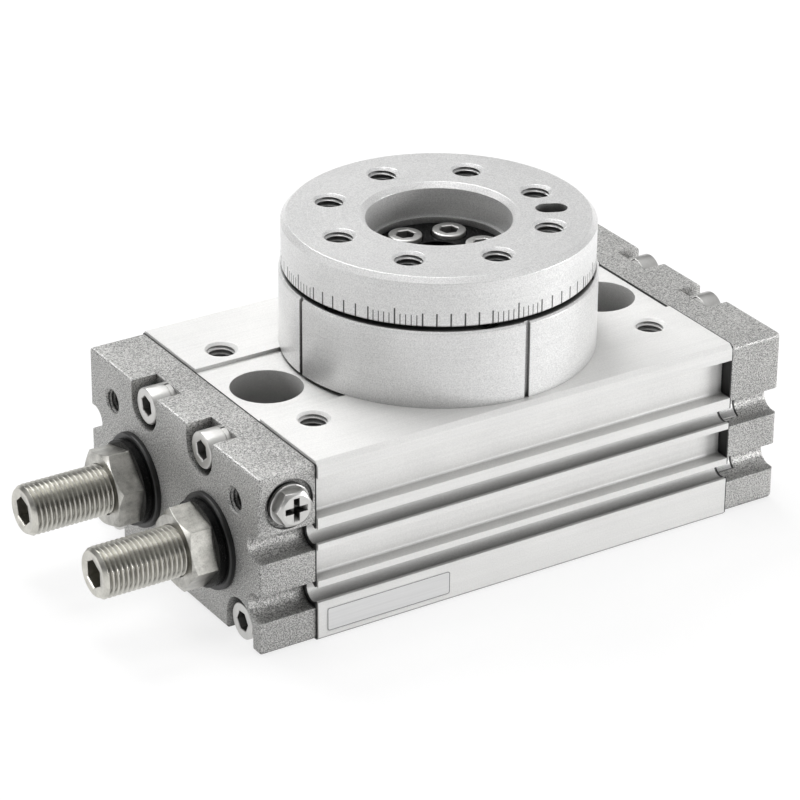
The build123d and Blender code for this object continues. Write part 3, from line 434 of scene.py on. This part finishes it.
def lathe(name, rows, columns, finish):
    """A closed shape about Z from rows of (z, radius), or (z, across flats, "hex").

    A radius after "hex" turns the hexagon's corners down to it.
    """
    points = []
    for z, size, *kind in rows:
        for column in range(columns):
            angle = FULL_TURN * column / columns
            radius = hexagon(angle, size) if kind else size
            radius = min(radius, *kind[1:]) if kind[1:] else radius
            points.append((radius * math.cos(angle), radius * math.sin(angle), z))
    faces = []
    for row in range(len(rows) - 1):
        lower, upper = row * columns, (row + 1) * columns
        for column in range(columns):
            after = (column + 1) % columns
            faces.append((lower + column, lower + after, upper + after, upper + column))
    for row, turned in ((0, True), (len(rows) - 1, False)):
        middle = len(points)
        points.append((0, 0, rows[row][0]))
        for column in range(columns):
            pair = (row * columns + column, row * columns + (column + 1) % columns)
            faces.append((*(reversed(pair) if turned else pair), middle))
    return mesh_object(name, points, faces, finish)


def outward(thing):
    """Merges a mesh's doubles and turns its faces outwards."""
    mesh = bmesh.new()
    mesh.from_mesh(thing.data)
    bmesh.ops.remove_doubles(mesh, verts=mesh.verts, dist=0.001 * MM)
    bmesh.ops.recalc_face_normals(mesh, faces=mesh.faces)
    mesh.to_mesh(thing.data)
    mesh.free()
    return thing


def smooth(thing, degrees=32):
    """Shades a mesh smooth, apart from its edges sharper than an angle."""
    thing.data.shade_smooth()
    thing.data.set_sharp_from_angle(angle=math.radians(degrees))
    return thing


def baked(thing):
    """Turns an object's modifiers into its plain mesh."""
    shown = thing.evaluated_get(bpy.context.evaluated_depsgraph_get())
    mesh = bpy.data.meshes.new_from_object(shown)
    thing.modifiers.clear()
    thing.data = mesh
    return thing


def cut_away(thing, tool):
    """Cuts a tool's shape out of an object; the tool goes."""
    cut = thing.modifiers.new("cut", "BOOLEAN")
    cut.operation = "DIFFERENCE"
    cut.solver = "EXACT"
    cut.object = tool
    baked(thing)
    bpy.data.objects.remove(tool)


def repeated(name, thing, places):
    """One object from copies of a shape, one at each place; the shape itself goes."""
    mesh = bmesh.new()
    for place in places:
        copy = thing.data.copy()
        copy.transform(place)
        mesh.from_mesh(copy)
        bpy.data.meshes.remove(copy)
    data = bpy.data.meshes.new(name)
    mesh.to_mesh(data)
    mesh.free()
    for finish in thing.data.materials:
        data.materials.append(finish)
    made = bpy.data.objects.new(name, data)
    bpy.context.scene.collection.objects.link(made)
    bpy.data.objects.remove(thing)
    return made


def fitted(thing, body, slot, *nodes):
    """A finished piece rides on its body and stands for its nodes; its slot is not used."""
    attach(thing, body)
    if nodes:
        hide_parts(*nodes)


# Geometry trees

MARKS_ROUND = 360
MARK_GROUP, MARK_STEP = 45.0, 5.0
FINE_REACH, FINE_STEP, FINE_WIDTH = 9.0, 2.0, 0.6
THREAD_FLANK, THREAD_ROOT = 2.6, 0.15
THREAD_SKIN = 0.8


def geometry_tree(name, sizes, whole=()):
    """A tree with a mesh coming in, named sizes and a mesh going out."""
    group = bpy.data.node_groups.new(name, "GeometryNodeTree")
    face = group.interface
    face.new_socket("Geometry", in_out="INPUT", socket_type="NodeSocketGeometry")
    for size in sizes:
        kind = "NodeSocketInt" if size in whole else "NodeSocketFloat"
        face.new_socket(size, in_out="INPUT", socket_type=kind)
    face.new_socket("Finish", in_out="INPUT", socket_type="NodeSocketMaterial")
    face.new_socket("Geometry", in_out="OUTPUT", socket_type="NodeSocketGeometry")
    tree = Tree(group)
    return tree, tree.outputs("NodeGroupInput")


def close_tree(tree, geometry, finish):
    """Ends a geometry tree in real meshes with their finish."""
    real = tree.add("GeometryNodeRealizeInstances", (), {0: geometry})
    painted = tree.add("GeometryNodeSetMaterial", (), {"Geometry": real, "Material": finish})
    tree.add("NodeGroupOutput", (), {0: painted})


def grow(thing, tree, **sizes):
    """Runs a geometry tree on an object, with its inputs set by their identifiers."""
    modifier = thing.modifiers.new("grow", "NODES")
    modifier.node_group = tree.tree
    for item in tree.tree.interface.items_tree:
        name = item.name.replace(" ", "_").lower()
        if item.in_out == "INPUT" and name in sizes:
            modifier[item.identifier] = sizes[name]
    return baked(thing)


def round_spot(tree, angle, radius, z=0.0):
    """A place at an angle about Z."""
    return tree.join(angle.cosine() * radius, angle.sine() * radius, z)


def thread_tree():
    """Cuts a helical thread into every point that lies near the major radius."""
    names = ("Major Radius", "Pitch", "Depth", "Start", "End")
    tree, size = geometry_tree("helical_thread", names)
    x, y, z = tree.split(tree.add("GeometryNodeInputPosition"))
    radius = (x * x + y * y) ** 0.5
    turn = x.maths("ARCTAN2", y, x) / FULL_TURN
    phase = (z / size["Pitch"] - turn) % 1.0
    ridge = (abs(phase - 0.5) * THREAD_FLANK - THREAD_ROOT).clipped()
    runout = ((z - size["Start"]) / size["Pitch"]).least((size["End"] - z) / size["Pitch"])
    cut = size["Depth"] * (1 - ridge) * runout.clipped()
    shaved = (size["Major Radius"] - radius).most(0.0)
    move = (cut - shaved).most(0.0) * (radius > size["Major Radius"] * THREAD_SKIN)
    offset = tree.join(x / radius * move * -1, y / radius * move * -1)
    sockets = {"Geometry": size["Geometry"], "Offset": offset}
    moved = tree.add("GeometryNodeSetPosition", (), sockets)
    close_tree(tree, moved, size["Finish"])
    return tree


def circle_tree():
    """Repeats a mesh round Z."""
    tree, size = geometry_tree("round_pattern", ("Count", "Radius", "Turn"), ("Count",))
    index = tree.add("GeometryNodeInputIndex")
    angle = index / size["Count"] * FULL_TURN + size["Turn"]
    spot = round_spot(tree, angle, size["Radius"])
    points = tree.add("GeometryNodePoints", (), {"Count": size["Count"], "Position": spot})
    sockets = {"Points": points, "Instance": size["Geometry"], "Rotation": tree.join(z=angle)}
    copies = tree.add("GeometryNodeInstanceOnPoints", (), sockets)
    close_tree(tree, copies, size["Finish"])
    return tree


def graduation_tree():
    """Marks in groups: a long one, fine ones beside it and medium ones between."""
    names = ("Radius", "Level", "Fine", "Medium", "Long", "Width", "Depth", "Turn")
    tree, size = geometry_tree("graduations", names)
    degree = tree.add("GeometryNodeInputIndex") * 1.0
    along = degree % MARK_GROUP
    near = along.least(MARK_GROUP - along)
    is_long = near < 0.5
    is_fine = (near < FINE_REACH) * (near % FINE_STEP < 0.5) * (1 - is_long)
    is_medium = (near > FINE_REACH) * (along % MARK_STEP < 0.5)
    length = is_long * size["Long"] + is_fine * size["Fine"] + is_medium * size["Medium"]
    angle = (degree + size["Turn"]) * (math.pi / 180)
    spot = round_spot(tree, angle, size["Radius"], size["Level"] + length / 2)
    points = tree.add("GeometryNodePoints", (), {"Count": MARKS_ROUND, "Position": spot})
    block = tree.join(size["Depth"], size["Width"], 1.0)
    sockets = {
        "Points": points,
        "Selection": length > 0.0,
        "Instance": tree.add("GeometryNodeMeshCube", (), {"Size": block}),
        "Rotation": tree.join(z=angle),
        "Scale": tree.join(1.0, 1.0 - is_fine * (1.0 - FINE_WIDTH), length),
    }
    copies = tree.add("GeometryNodeInstanceOnPoints", (), sockets)
    close_tree(tree, copies, size["Finish"])
    return tree


THREAD = thread_tree()
ROUND = circle_tree()
MARKS = graduation_tree()


# Adjusting bolts: fine thread, turned tip and hexagon socket

BOLT_COLUMNS = 96
BOLT_PITCH = 1.0 * MM
BOLT_THREAD_DEPTH = 0.56 * MM
BOLT_CHAMFER = 0.7 * MM
BOLT_TIP_STEP = 0.62 * MM
BOLT_TIP_ROUND, BOLT_TIP_EDGE = 0.05 * MM, 0.08 * MM
BOLT_THREAD_START, BOLT_THREAD_STOP = 0.1 * MM, 0.15 * MM
BOLT_SOCKET = 5.0 * MM
BOLT_SOCKET_DEPTH = 5.0 * MM
BOLT_SOCKET_RIM, BOLT_SOCKET_RIM_DEPTH = 1.13, 0.25 * MM
BOLT_DRILL_DEPTH, BOLT_DRILL_END = 0.8 * MM, 0.4 * MM
PAD_SOCKET = 3.05 * MM
PAD_SOCKET_DEPTH = 3.0 * MM
PAD_SOCKET_CENTRE = 0.01 * MM
SOCKET_TURN = {"left": math.radians(12), "right": math.radians(2)}


def threaded(name, major, pitch, depth, rows, start, end, columns, finish):
    """A lathe shape about Z, with its thread cut between two levels."""
    blank = outward(lathe(name, rows, columns, finish))
    return grow(
        blank, THREAD, major_radius=major, pitch=pitch, depth=depth, start=start, end=end,
        finish=finish,
    )


def thread_rows(low, high, radius, pitch, rings=8):
    """Rows close enough together to carry a thread."""
    count = round((high - low) / pitch * rings)
    return [(low + (high - low) * row / count, radius) for row in range(count + 1)]


def towards_x(way, place, turn=0.0):
    """A place whose +Z becomes +X or -X, after a turn about Z."""
    faced = Matrix.Rotation(way * QUARTER_TURN, 4, "Y")
    return Matrix.Translation(place) @ faced @ Matrix.Rotation(turn, 4, "Z")


def adjusting_bolt(side):
    """One bolt from its pad socket, at z = 0, to its tip with the hexagon socket."""
    low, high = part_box(f"adjusting_bolt_{side}")
    radius = (high.y - low.y) / 2
    length = high.x - low.x
    tip = radius - BOLT_TIP_STEP
    socket_floor = length - BOLT_SOCKET_DEPTH
    rows = [
        (PAD_SOCKET_DEPTH, PAD_SOCKET - PAD_SOCKET_CENTRE),
        (PAD_SOCKET_DEPTH, PAD_SOCKET),
        (0.0, PAD_SOCKET),
        (0.0, tip),
        *thread_rows(BOLT_CHAMFER, length - BOLT_CHAMFER, radius, BOLT_PITCH),
        (length - BOLT_TIP_EDGE, tip + BOLT_TIP_ROUND),
        (length, tip - BOLT_TIP_ROUND),
        (length, BOLT_SOCKET * BOLT_SOCKET_RIM, "hex"),
        (length - BOLT_SOCKET_RIM_DEPTH, BOLT_SOCKET, "hex"),
        (socket_floor, BOLT_SOCKET, "hex"),
        (socket_floor - BOLT_DRILL_DEPTH, BOLT_DRILL_END),
    ]
    bolt = threaded(
        f"threaded_bolt_{side}", radius, BOLT_PITCH, BOLT_THREAD_DEPTH, rows,
        BOLT_THREAD_START, length - BOLT_THREAD_STOP, BOLT_COLUMNS, ZINC,
    )
    middle = (low + high) / 2
    inner_end = (high.x, middle.y, middle.z)
    bolt.data.transform(towards_x(-1, inner_end, SOCKET_TURN[side]))
    fitted(smooth(bolt, degrees=38), f"stop_bolt_{side}", "plated_steel", f"adjusting_bolt_{side}")


adjusting_bolt("left")
adjusting_bolt("right")


# Socket cap screws: round-edged heads in each place that has them

SCREW_COLUMNS = 48
SCREW_POINT = 0.4 * MM
HEAD_SEAT_EDGE = 0.1 * MM
HEAD_ROUND, HEAD_ROUND_STEPS = 0.28 * MM, 4
SOCKET_RIM, SOCKET_RIM_DEPTH = 1.10, 0.15 * MM
SOCKET_FLOOR, DRILL_FLOOR, DRILL_END = 0.34, 0.20, 0.3 * MM

COVER_SCREW_SEAT = 54.05 * MM
UPPER_SPREAD, UPPER_LEVEL, UPPER_SOCKET_TURN = 10.45 * MM, 32.9 * MM, math.radians(10)
LOWER_SPREAD, LOWER_LEVEL, LOWER_SOCKET_TURN = 24.6 * MM, 3.85 * MM, math.radians(35)

TABLE_TURN = math.radians(-2.5)
TABLE_SCREW_TURN = TABLE_TURN - math.radians(13.5)
TABLE_SCREW_CIRCLE, TABLE_SCREW_SEAT = 8.75 * MM, 51.9 * MM


def cap_screw(name, diameter, head, height, length, socket):
    """Hexagon socket cap screw about Z with its seat at z = 0."""
    shank, rim = diameter / 2, head / 2
    rows = [(-length, shank - SCREW_POINT), (-length + SCREW_POINT, shank), (0.0, shank)]
    rows += [(0.0, rim - HEAD_SEAT_EDGE), (HEAD_SEAT_EDGE, rim)]
    for step in range(HEAD_ROUND_STEPS + 1):
        angle = QUARTER_TURN * step / HEAD_ROUND_STEPS
        edge = rim - HEAD_ROUND * (1 - math.cos(angle))
        rows.append((height - HEAD_ROUND * (1 - math.sin(angle)), edge))
    rows += [
        (height, socket * SOCKET_RIM, "hex"),
        (height - SOCKET_RIM_DEPTH, socket, "hex"),
        (height * SOCKET_FLOOR, socket, "hex"),
        (height * DRILL_FLOOR, DRILL_END),
    ]
    return outward(lathe(name, rows, SCREW_COLUMNS, FINISH["plated_steel"]))


def cover_screws(end, way):
    """The four screws of one cover, with their heads towards +X or -X."""
    screw = cap_screw(
        "cover_screw", diameter=4 * MM, head=7.2 * MM, height=4 * MM, length=17.5 * MM,
        socket=3.5 * MM,
    )
    corners = (
        (UPPER_SPREAD, UPPER_LEVEL, UPPER_SOCKET_TURN),
        (LOWER_SPREAD, LOWER_LEVEL, LOWER_SOCKET_TURN),
    )
    places = [
        towards_x(way, (way * COVER_SCREW_SEAT, side * spread, level), turn)
        for spread, level, turn in corners for side in (1, -1)
    ]
    made = smooth(repeated(f"{end}_socket_screws", screw, places))
    fitted(made, "housing", "plated_steel", f"{end}_cover_screws")


def table_screws():
    """The six screws that hold the table on its shaft."""
    screw = cap_screw(
        "table_socket_screws", diameter=4 * MM, head=6.6 * MM, height=4 * MM, length=12 * MM,
        socket=3.2 * MM,
    )
    screw.data.transform(Matrix.Translation((0, 0, TABLE_SCREW_SEAT)))
    grow(
        screw, ROUND, count=6, radius=TABLE_SCREW_CIRCLE, turn=TABLE_SCREW_TURN,
        finish=FINISH["plated_steel"],
    )
    fitted(smooth(screw), "table_unit", "plated_steel", "table_screws")


cover_screws("near", -1)
cover_screws("far", 1)
table_screws()


# Side port plugs: a hexagon turned down to a round face, with a cross recess

PLUG_COLUMNS = 96
PLUG_HEX = 6.6 * MM
PLUG_HEAD = 3.0 * MM
PLUG_FACE = 2.9 * MM
PLUG_FACE_EDGE = 0.05 * MM
PLUG_TURNED, PLUG_TURNED_STEPS = 0.75, 8
PLUG_SHANK, PLUG_SHANK_LENGTH = 2.5 * MM, 5.5 * MM
PLUG_SHANK_POINT, PLUG_SHANK_CHAMFER = 2.3 * MM, 0.3 * MM
FLANGE_RADIUS, FLANGE_THICK, FLANGE_CHAMFER = 4.1 * MM, 0.7 * MM, 0.15 * MM
CROSS_LENGTH, CROSS_WIDTH, CROSS_DEPTH = 4.7 * MM, 1.25 * MM, 1.7 * MM
CROSS_OVER, CROSS_FLARE, CROSS_TAPER = 0.3 * MM, 1.07, 0.55


def cross_punch(length, width, depth):
    """A cross about Z that narrows to its bottom, with its rim at z = 0."""
    end, side = length / 2, width / 2
    quarter = [(end, -side), (end, side), (side, side)]
    around = 4 * len(quarter)
    points = []
    for z, share in ((CROSS_OVER, CROSS_FLARE), (0.0, 1.0), (-depth, CROSS_TAPER)):
        for turn in range(4):
            way = Matrix.Rotation(turn * QUARTER_TURN, 2)
            points += [(*(way @ Vector(corner) * share), z) for corner in quarter]
    faces = [tuple(reversed(range(around))), tuple(range(2 * around, 3 * around))]
    for row in (0, around):
        for spot in range(around):
            after = (spot + 1) % around
            faces.append((row + spot, row + after, row + around + after, row + around + spot))
    return outward(mesh_object("cross_punch", points, faces, FINISH["plated_steel"]))


def port_plugs():
    """Both plugs, each with its head's underside at its own gasket."""
    corner = hexagon(0.0, PLUG_HEX)
    turned = (corner - PLUG_FACE) * PLUG_TURNED
    rows = [
        (-PLUG_SHANK_LENGTH, PLUG_SHANK_POINT),
        (-PLUG_SHANK_LENGTH + PLUG_SHANK_CHAMFER, PLUG_SHANK),
        (0.0, PLUG_SHANK),
        (0.0, FLANGE_RADIUS),
        (FLANGE_THICK - FLANGE_CHAMFER, FLANGE_RADIUS),
        (FLANGE_THICK, FLANGE_RADIUS - FLANGE_CHAMFER),
        (FLANGE_THICK, PLUG_HEX, "hex"),
    ]
    for step in range(PLUG_TURNED_STEPS + 1):
        share = step / PLUG_TURNED_STEPS
        limit = corner + (PLUG_FACE - corner) * share
        rows.append((PLUG_HEAD - turned * (1 - share), PLUG_HEX, "hex", limit))
    rows.append((PLUG_HEAD, PLUG_FACE - PLUG_FACE_EDGE))
    plug = outward(lathe("plug", rows, PLUG_COLUMNS, FINISH["plated_steel"]))
    punch = cross_punch(CROSS_LENGTH, CROSS_WIDTH, CROSS_DEPTH)
    punch.data.transform(Matrix.Translation((0, 0, PLUG_HEAD)))
    cut_away(plug, punch)
    low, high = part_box("side_port_plugs")
    middle = (low + high) / 2
    places = [
        Matrix.Translation((middle.x, way * (high.y - PLUG_HEAD), middle.z))
        @ Matrix.Rotation(-way * QUARTER_TURN, 4, "X")
        for way in (1, -1)
    ]
    made = outward(repeated("cross_recess_plugs", plug, places))
    fitted(smooth(made, degrees=28), "housing", "plated_steel", "side_port_plugs")


port_plugs()


# Graduations round the table's lower edge

TABLE_RADIUS = (table_high.x - table_low.x) / 2
TABLE_RIM_BASE = 53.35 * MM
MARK_GAP, MARK_SUNK = 0.15 * MM, 0.025 * MM
MARK_TURN_DEGREES = -3.4

graduations = mesh_object("angle_graduations", [(0, 0, 0)], [], ENGRAVED)
grow(
    graduations, MARKS, radius=TABLE_RADIUS - MARK_SUNK, level=TABLE_RIM_BASE + MARK_GAP,
    fine=2.15 * MM, medium=2.6 * MM, long=3.2 * MM, width=0.30 * MM, depth=0.06 * MM,
    turn=MARK_TURN_DEGREES, finish=ENGRAVED,
)
fitted(graduations, "table_unit", "machined_aluminium")


# User threads, cut into copies of the CAD pieces

M6_CREST, M6_PITCH, M6_DEPTH, M6_LEAD = 3.0 * MM, 1.0 * MM, 0.56 * MM, 0.6 * MM
M5_CREST, M5_PITCH, M5_DEPTH, M5_LEAD = 2.5 * MM, 0.8 * MM, 0.46 * MM, 0.5 * MM
TAP_COLUMNS, TAP_RINGS = 28, 7
TABLE_CIRCLE, TABLE_TAP_LENGTH = 21.5 * MM, 8.3 * MM
TOP_HOLE_X, TOP_HOLE_Y, TOP_TAP_LENGTH = 38.0 * MM, 17.0 * MM, 10.6 * MM
PORT_X, PORT_Y, PORT_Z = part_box("near_cover")[0].x, 23.2 * MM, 28.6 * MM
PORT_TAP_LENGTH = 6.2 * MM
PAST_THE_ENDS = 1.0


def tap(name, radius, pitch, depth, length, over):
    """A tap about Z: its core lies in the drilled hole and its ridge cuts the wall."""
    rows = thread_rows(-length, over, radius, pitch, TAP_RINGS)
    return threaded(
        name, radius, pitch, depth, rows, -PAST_THE_ENDS, PAST_THE_ENDS, TAP_COLUMNS,
        FINISH["alloy_steel"],
    )


def tapped(node, body, slot, tool, places):
    """A copy of a CAD piece with one thread cut at each place, and smooth curves."""
    source = frame["nodes"][node]
    copy = bpy.data.objects.new(f"tapped_{node}", source.data.copy())
    copy.data.transform(source.matrix_world)
    bpy.context.scene.collection.objects.link(copy)
    if "custom_normal" in copy.data.attributes:
        copy.data.attributes.remove(copy.data.attributes["custom_normal"])
    cut_away(outward(copy), repeated("taps", tool, places))
    copy.data.materials.clear()
    copy.data.materials.append(FINISH[slot])
    fitted(smooth(copy, degrees=34), body, slot, node)


def round_places(count, radius, turn, z):
    """Places evenly round Z."""
    for number in range(count):
        angle = turn + FULL_TURN * number / count
        yield Matrix.Translation((radius * math.cos(angle), radius * math.sin(angle), z))


tapped(
    "table", "table_unit", "machined_aluminium",
    tap("tap_m6", M6_CREST, M6_PITCH, M6_DEPTH, TABLE_TAP_LENGTH, M6_LEAD),
    round_places(8, TABLE_CIRCLE, TABLE_TURN, table_high.z),
)
tapped(
    "body_block", "housing", "extruded_aluminium",
    tap("tap_m6_deep", M6_CREST, M6_PITCH, M6_DEPTH, TOP_TAP_LENGTH, M6_LEAD),
    [
        Matrix.Translation((x_way * TOP_HOLE_X, y_way * TOP_HOLE_Y, body_high.z))
        for x_way in (1, -1) for y_way in (1, -1)
    ],
)
tapped(
    "near_cover", "housing", "cast_aluminium",
    tap("tap_m5", M5_CREST, M5_PITCH, M5_DEPTH, PORT_TAP_LENGTH, M5_LEAD),
    [towards_x(-1, (PORT_X, y_way * PORT_Y, PORT_Z)) for y_way in (1, -1)],
)


# Silver film low on the body's -Y side

FILM_THICK, FILM_SUNK = 0.06 * MM, 0.02 * MM
FILM_CORNER_STEPS = 6


def rounded_outline(low, high, radius):
    """A rectangle's outline with round corners, from its two opposite corners."""
    corners = (
        (high[0], high[1], 0), (low[0], high[1], 90), (low[0], low[1], 180), (high[0], low[1], 270)
    )
    points = []
    for x, z, start in corners:
        inner_x = x - math.copysign(radius, x - (low[0] + high[0]) / 2)
        inner_z = z - math.copysign(radius, z - (low[1] + high[1]) / 2)
        for step in range(FILM_CORNER_STEPS + 1):
            angle = math.radians(start) + QUARTER_TURN * step / FILM_CORNER_STEPS
            points.append((inner_x + radius * math.cos(angle), inner_z + radius * math.sin(angle)))
    return points


def side_film():
    """The film, a thin plate whose back lies just inside the wall."""
    outline = rounded_outline(FILM_LOW, FILM_HIGH, FILM_ROUND)
    count = len(outline)
    sides = (body_low.y - FILM_THICK, body_low.y + FILM_SUNK)
    points = [(x, y, z) for y in sides for x, z in outline]
    faces = [tuple(range(count)), tuple(reversed(range(count, 2 * count)))]
    for spot in range(count):
        after = (spot + 1) % count
        faces.append((spot, spot + count, after + count, after))
    film = outward(mesh_object("blank_nameplate_film", points, faces, FILM))
    fitted(film, "housing", "machined_aluminium")


side_film()


# Floor, surround and lamps

FLOOR_HALF = 3.0
FLOOR_COLOUR = (0.82, 0.82, 0.82, 1.0)
FLOOR_GLOW, FLOOR_GLOW_SHARE = 1.12, 0.70
LAMP_AIM = Vector((0, 0, 0.04))


def studio_floor():
    """Pale floor that shows almost white to the camera and keeps the object's shadow."""
    made, tree = material("pale_floor")
    path = tree.outputs("ShaderNodeLightPath")
    seen = path["Is Camera Ray"].most(path["Is Glossy Ray"]).most(path["Is Transmission Ray"])
    matte = tree.add("ShaderNodeBsdfDiffuse", (), {"Color": FLOOR_COLOUR})
    glow = tree.add("ShaderNodeEmission", (), {"Color": WHITE, "Strength": FLOOR_GLOW})
    shares = {0: seen * FLOOR_GLOW_SHARE, 1: matte, 2: glow}
    both = tree.add("ShaderNodeMixShader", (), shares)
    tree.add("ShaderNodeOutputMaterial", (), {"Surface": both})
    corners = [(x * FLOOR_HALF, y * FLOOR_HALF, 0) for x, y in ((-1, -1), (1, -1), (1, 1), (-1, 1))]
    mesh_object("studio_floor", corners, [(0, 1, 2, 3)], made)


def studio_world():
    """White surround for the camera; reflections see it low down, under a dimmer ceiling."""
    world = bpy.data.worlds.new("studio_world")
    world.use_nodes = True
    world.node_tree.nodes.clear()
    tree = Tree(world.node_tree)
    x, y, z = tree.split(tree.add("ShaderNodeTexCoord", output="Generated"))
    side = (x * 0.6 + y * 0.2 + z * 0.8) * 0.5 + 0.5
    level = tree.ramp(side, 0.05, 0.95, 0.08, 0.26, smooth=True)
    low_band = tree.ramp(z, 0.06, 0.30, 1.0, 0.0, smooth=True)
    high_band = tree.ramp(z, 0.36, 0.80, 0.0, 0.75, smooth=True)
    mirrored = low_band + (1 - low_band) * (level * 0.5).most(high_band)
    path = tree.outputs("ShaderNodeLightPath")
    camera_ray = path["Is Camera Ray"]
    mirror_ray = path["Is Glossy Ray"].most(path["Is Transmission Ray"])
    strength = camera_ray + (1 - camera_ray) * (mirror_ray * mirrored + (1 - mirror_ray) * level)
    light = tree.add("ShaderNodeBackground", (), {"Color": WHITE, "Strength": strength})
    tree.add("ShaderNodeOutputWorld", (), {"Surface": light})
    bpy.context.scene.world = world


def soft_light(name, place, width, height, watts):
    """A rectangular lamp that faces the object."""
    lamp = bpy.data.lights.new(name, "AREA")
    lamp.shape = "RECTANGLE"
    lamp.size, lamp.size_y = width, height
    lamp.energy = watts
    made = bpy.data.objects.new(name, lamp)
    bpy.context.scene.collection.objects.link(made)
    made.location = place
    made.rotation_euler = (LAMP_AIM - Vector(place)).to_track_quat("-Z", "Y").to_euler()


studio_floor()
studio_world()
soft_light("overhead", (-0.05, 0.10, 1.25), width=0.60, height=0.60, watts=6.2)
soft_light("back_top", (-0.05, 0.80, 1.00), width=0.70, height=0.60, watts=8.8)
soft_light("right_low", (1.05, -0.74, 0.22), width=0.40, height=0.40, watts=10.5)
soft_light("front_right", (0.50, -1.20, 0.18), width=0.50, height=0.35, watts=1.2)
soft_light("left_back", (-1.12, 0.50, 0.26), width=0.40, height=0.35, watts=2.2)


# Camera

CAMERA_PLACE = (-345.375 * MM, -529.333 * MM, 341.788 * MM)
CAMERA_HEADING = math.radians(-32.4637)
CAMERA_TILT = math.radians(63.2767)
CAMERA_ROLL = math.radians(0.4249)
CAMERA_LENS, CAMERA_SENSOR = 164.42, 36.0
CAMERA_SHIFT = (0.00111, -0.00136)
CAMERA_NEAR, CAMERA_FAR = 0.01, 20.0

view = bpy.data.cameras.new("photo_camera")
view.lens, view.sensor_width = CAMERA_LENS, CAMERA_SENSOR
view.shift_x, view.shift_y = CAMERA_SHIFT
view.clip_start, view.clip_end = CAMERA_NEAR, CAMERA_FAR
camera = bpy.data.objects.new("photo_camera", view)
bpy.context.scene.collection.objects.link(camera)
camera.matrix_world = (
    Matrix.Translation(CAMERA_PLACE)
    @ Matrix.Rotation(CAMERA_HEADING, 4, "Z")
    @ Matrix.Rotation(CAMERA_TILT, 4, "X")
    @ Matrix.Rotation(CAMERA_ROLL, 4, "Z")
)
bpy.context.scene.camera = camera
bpy.context.scene.view_settings.view_transform = "Standard"
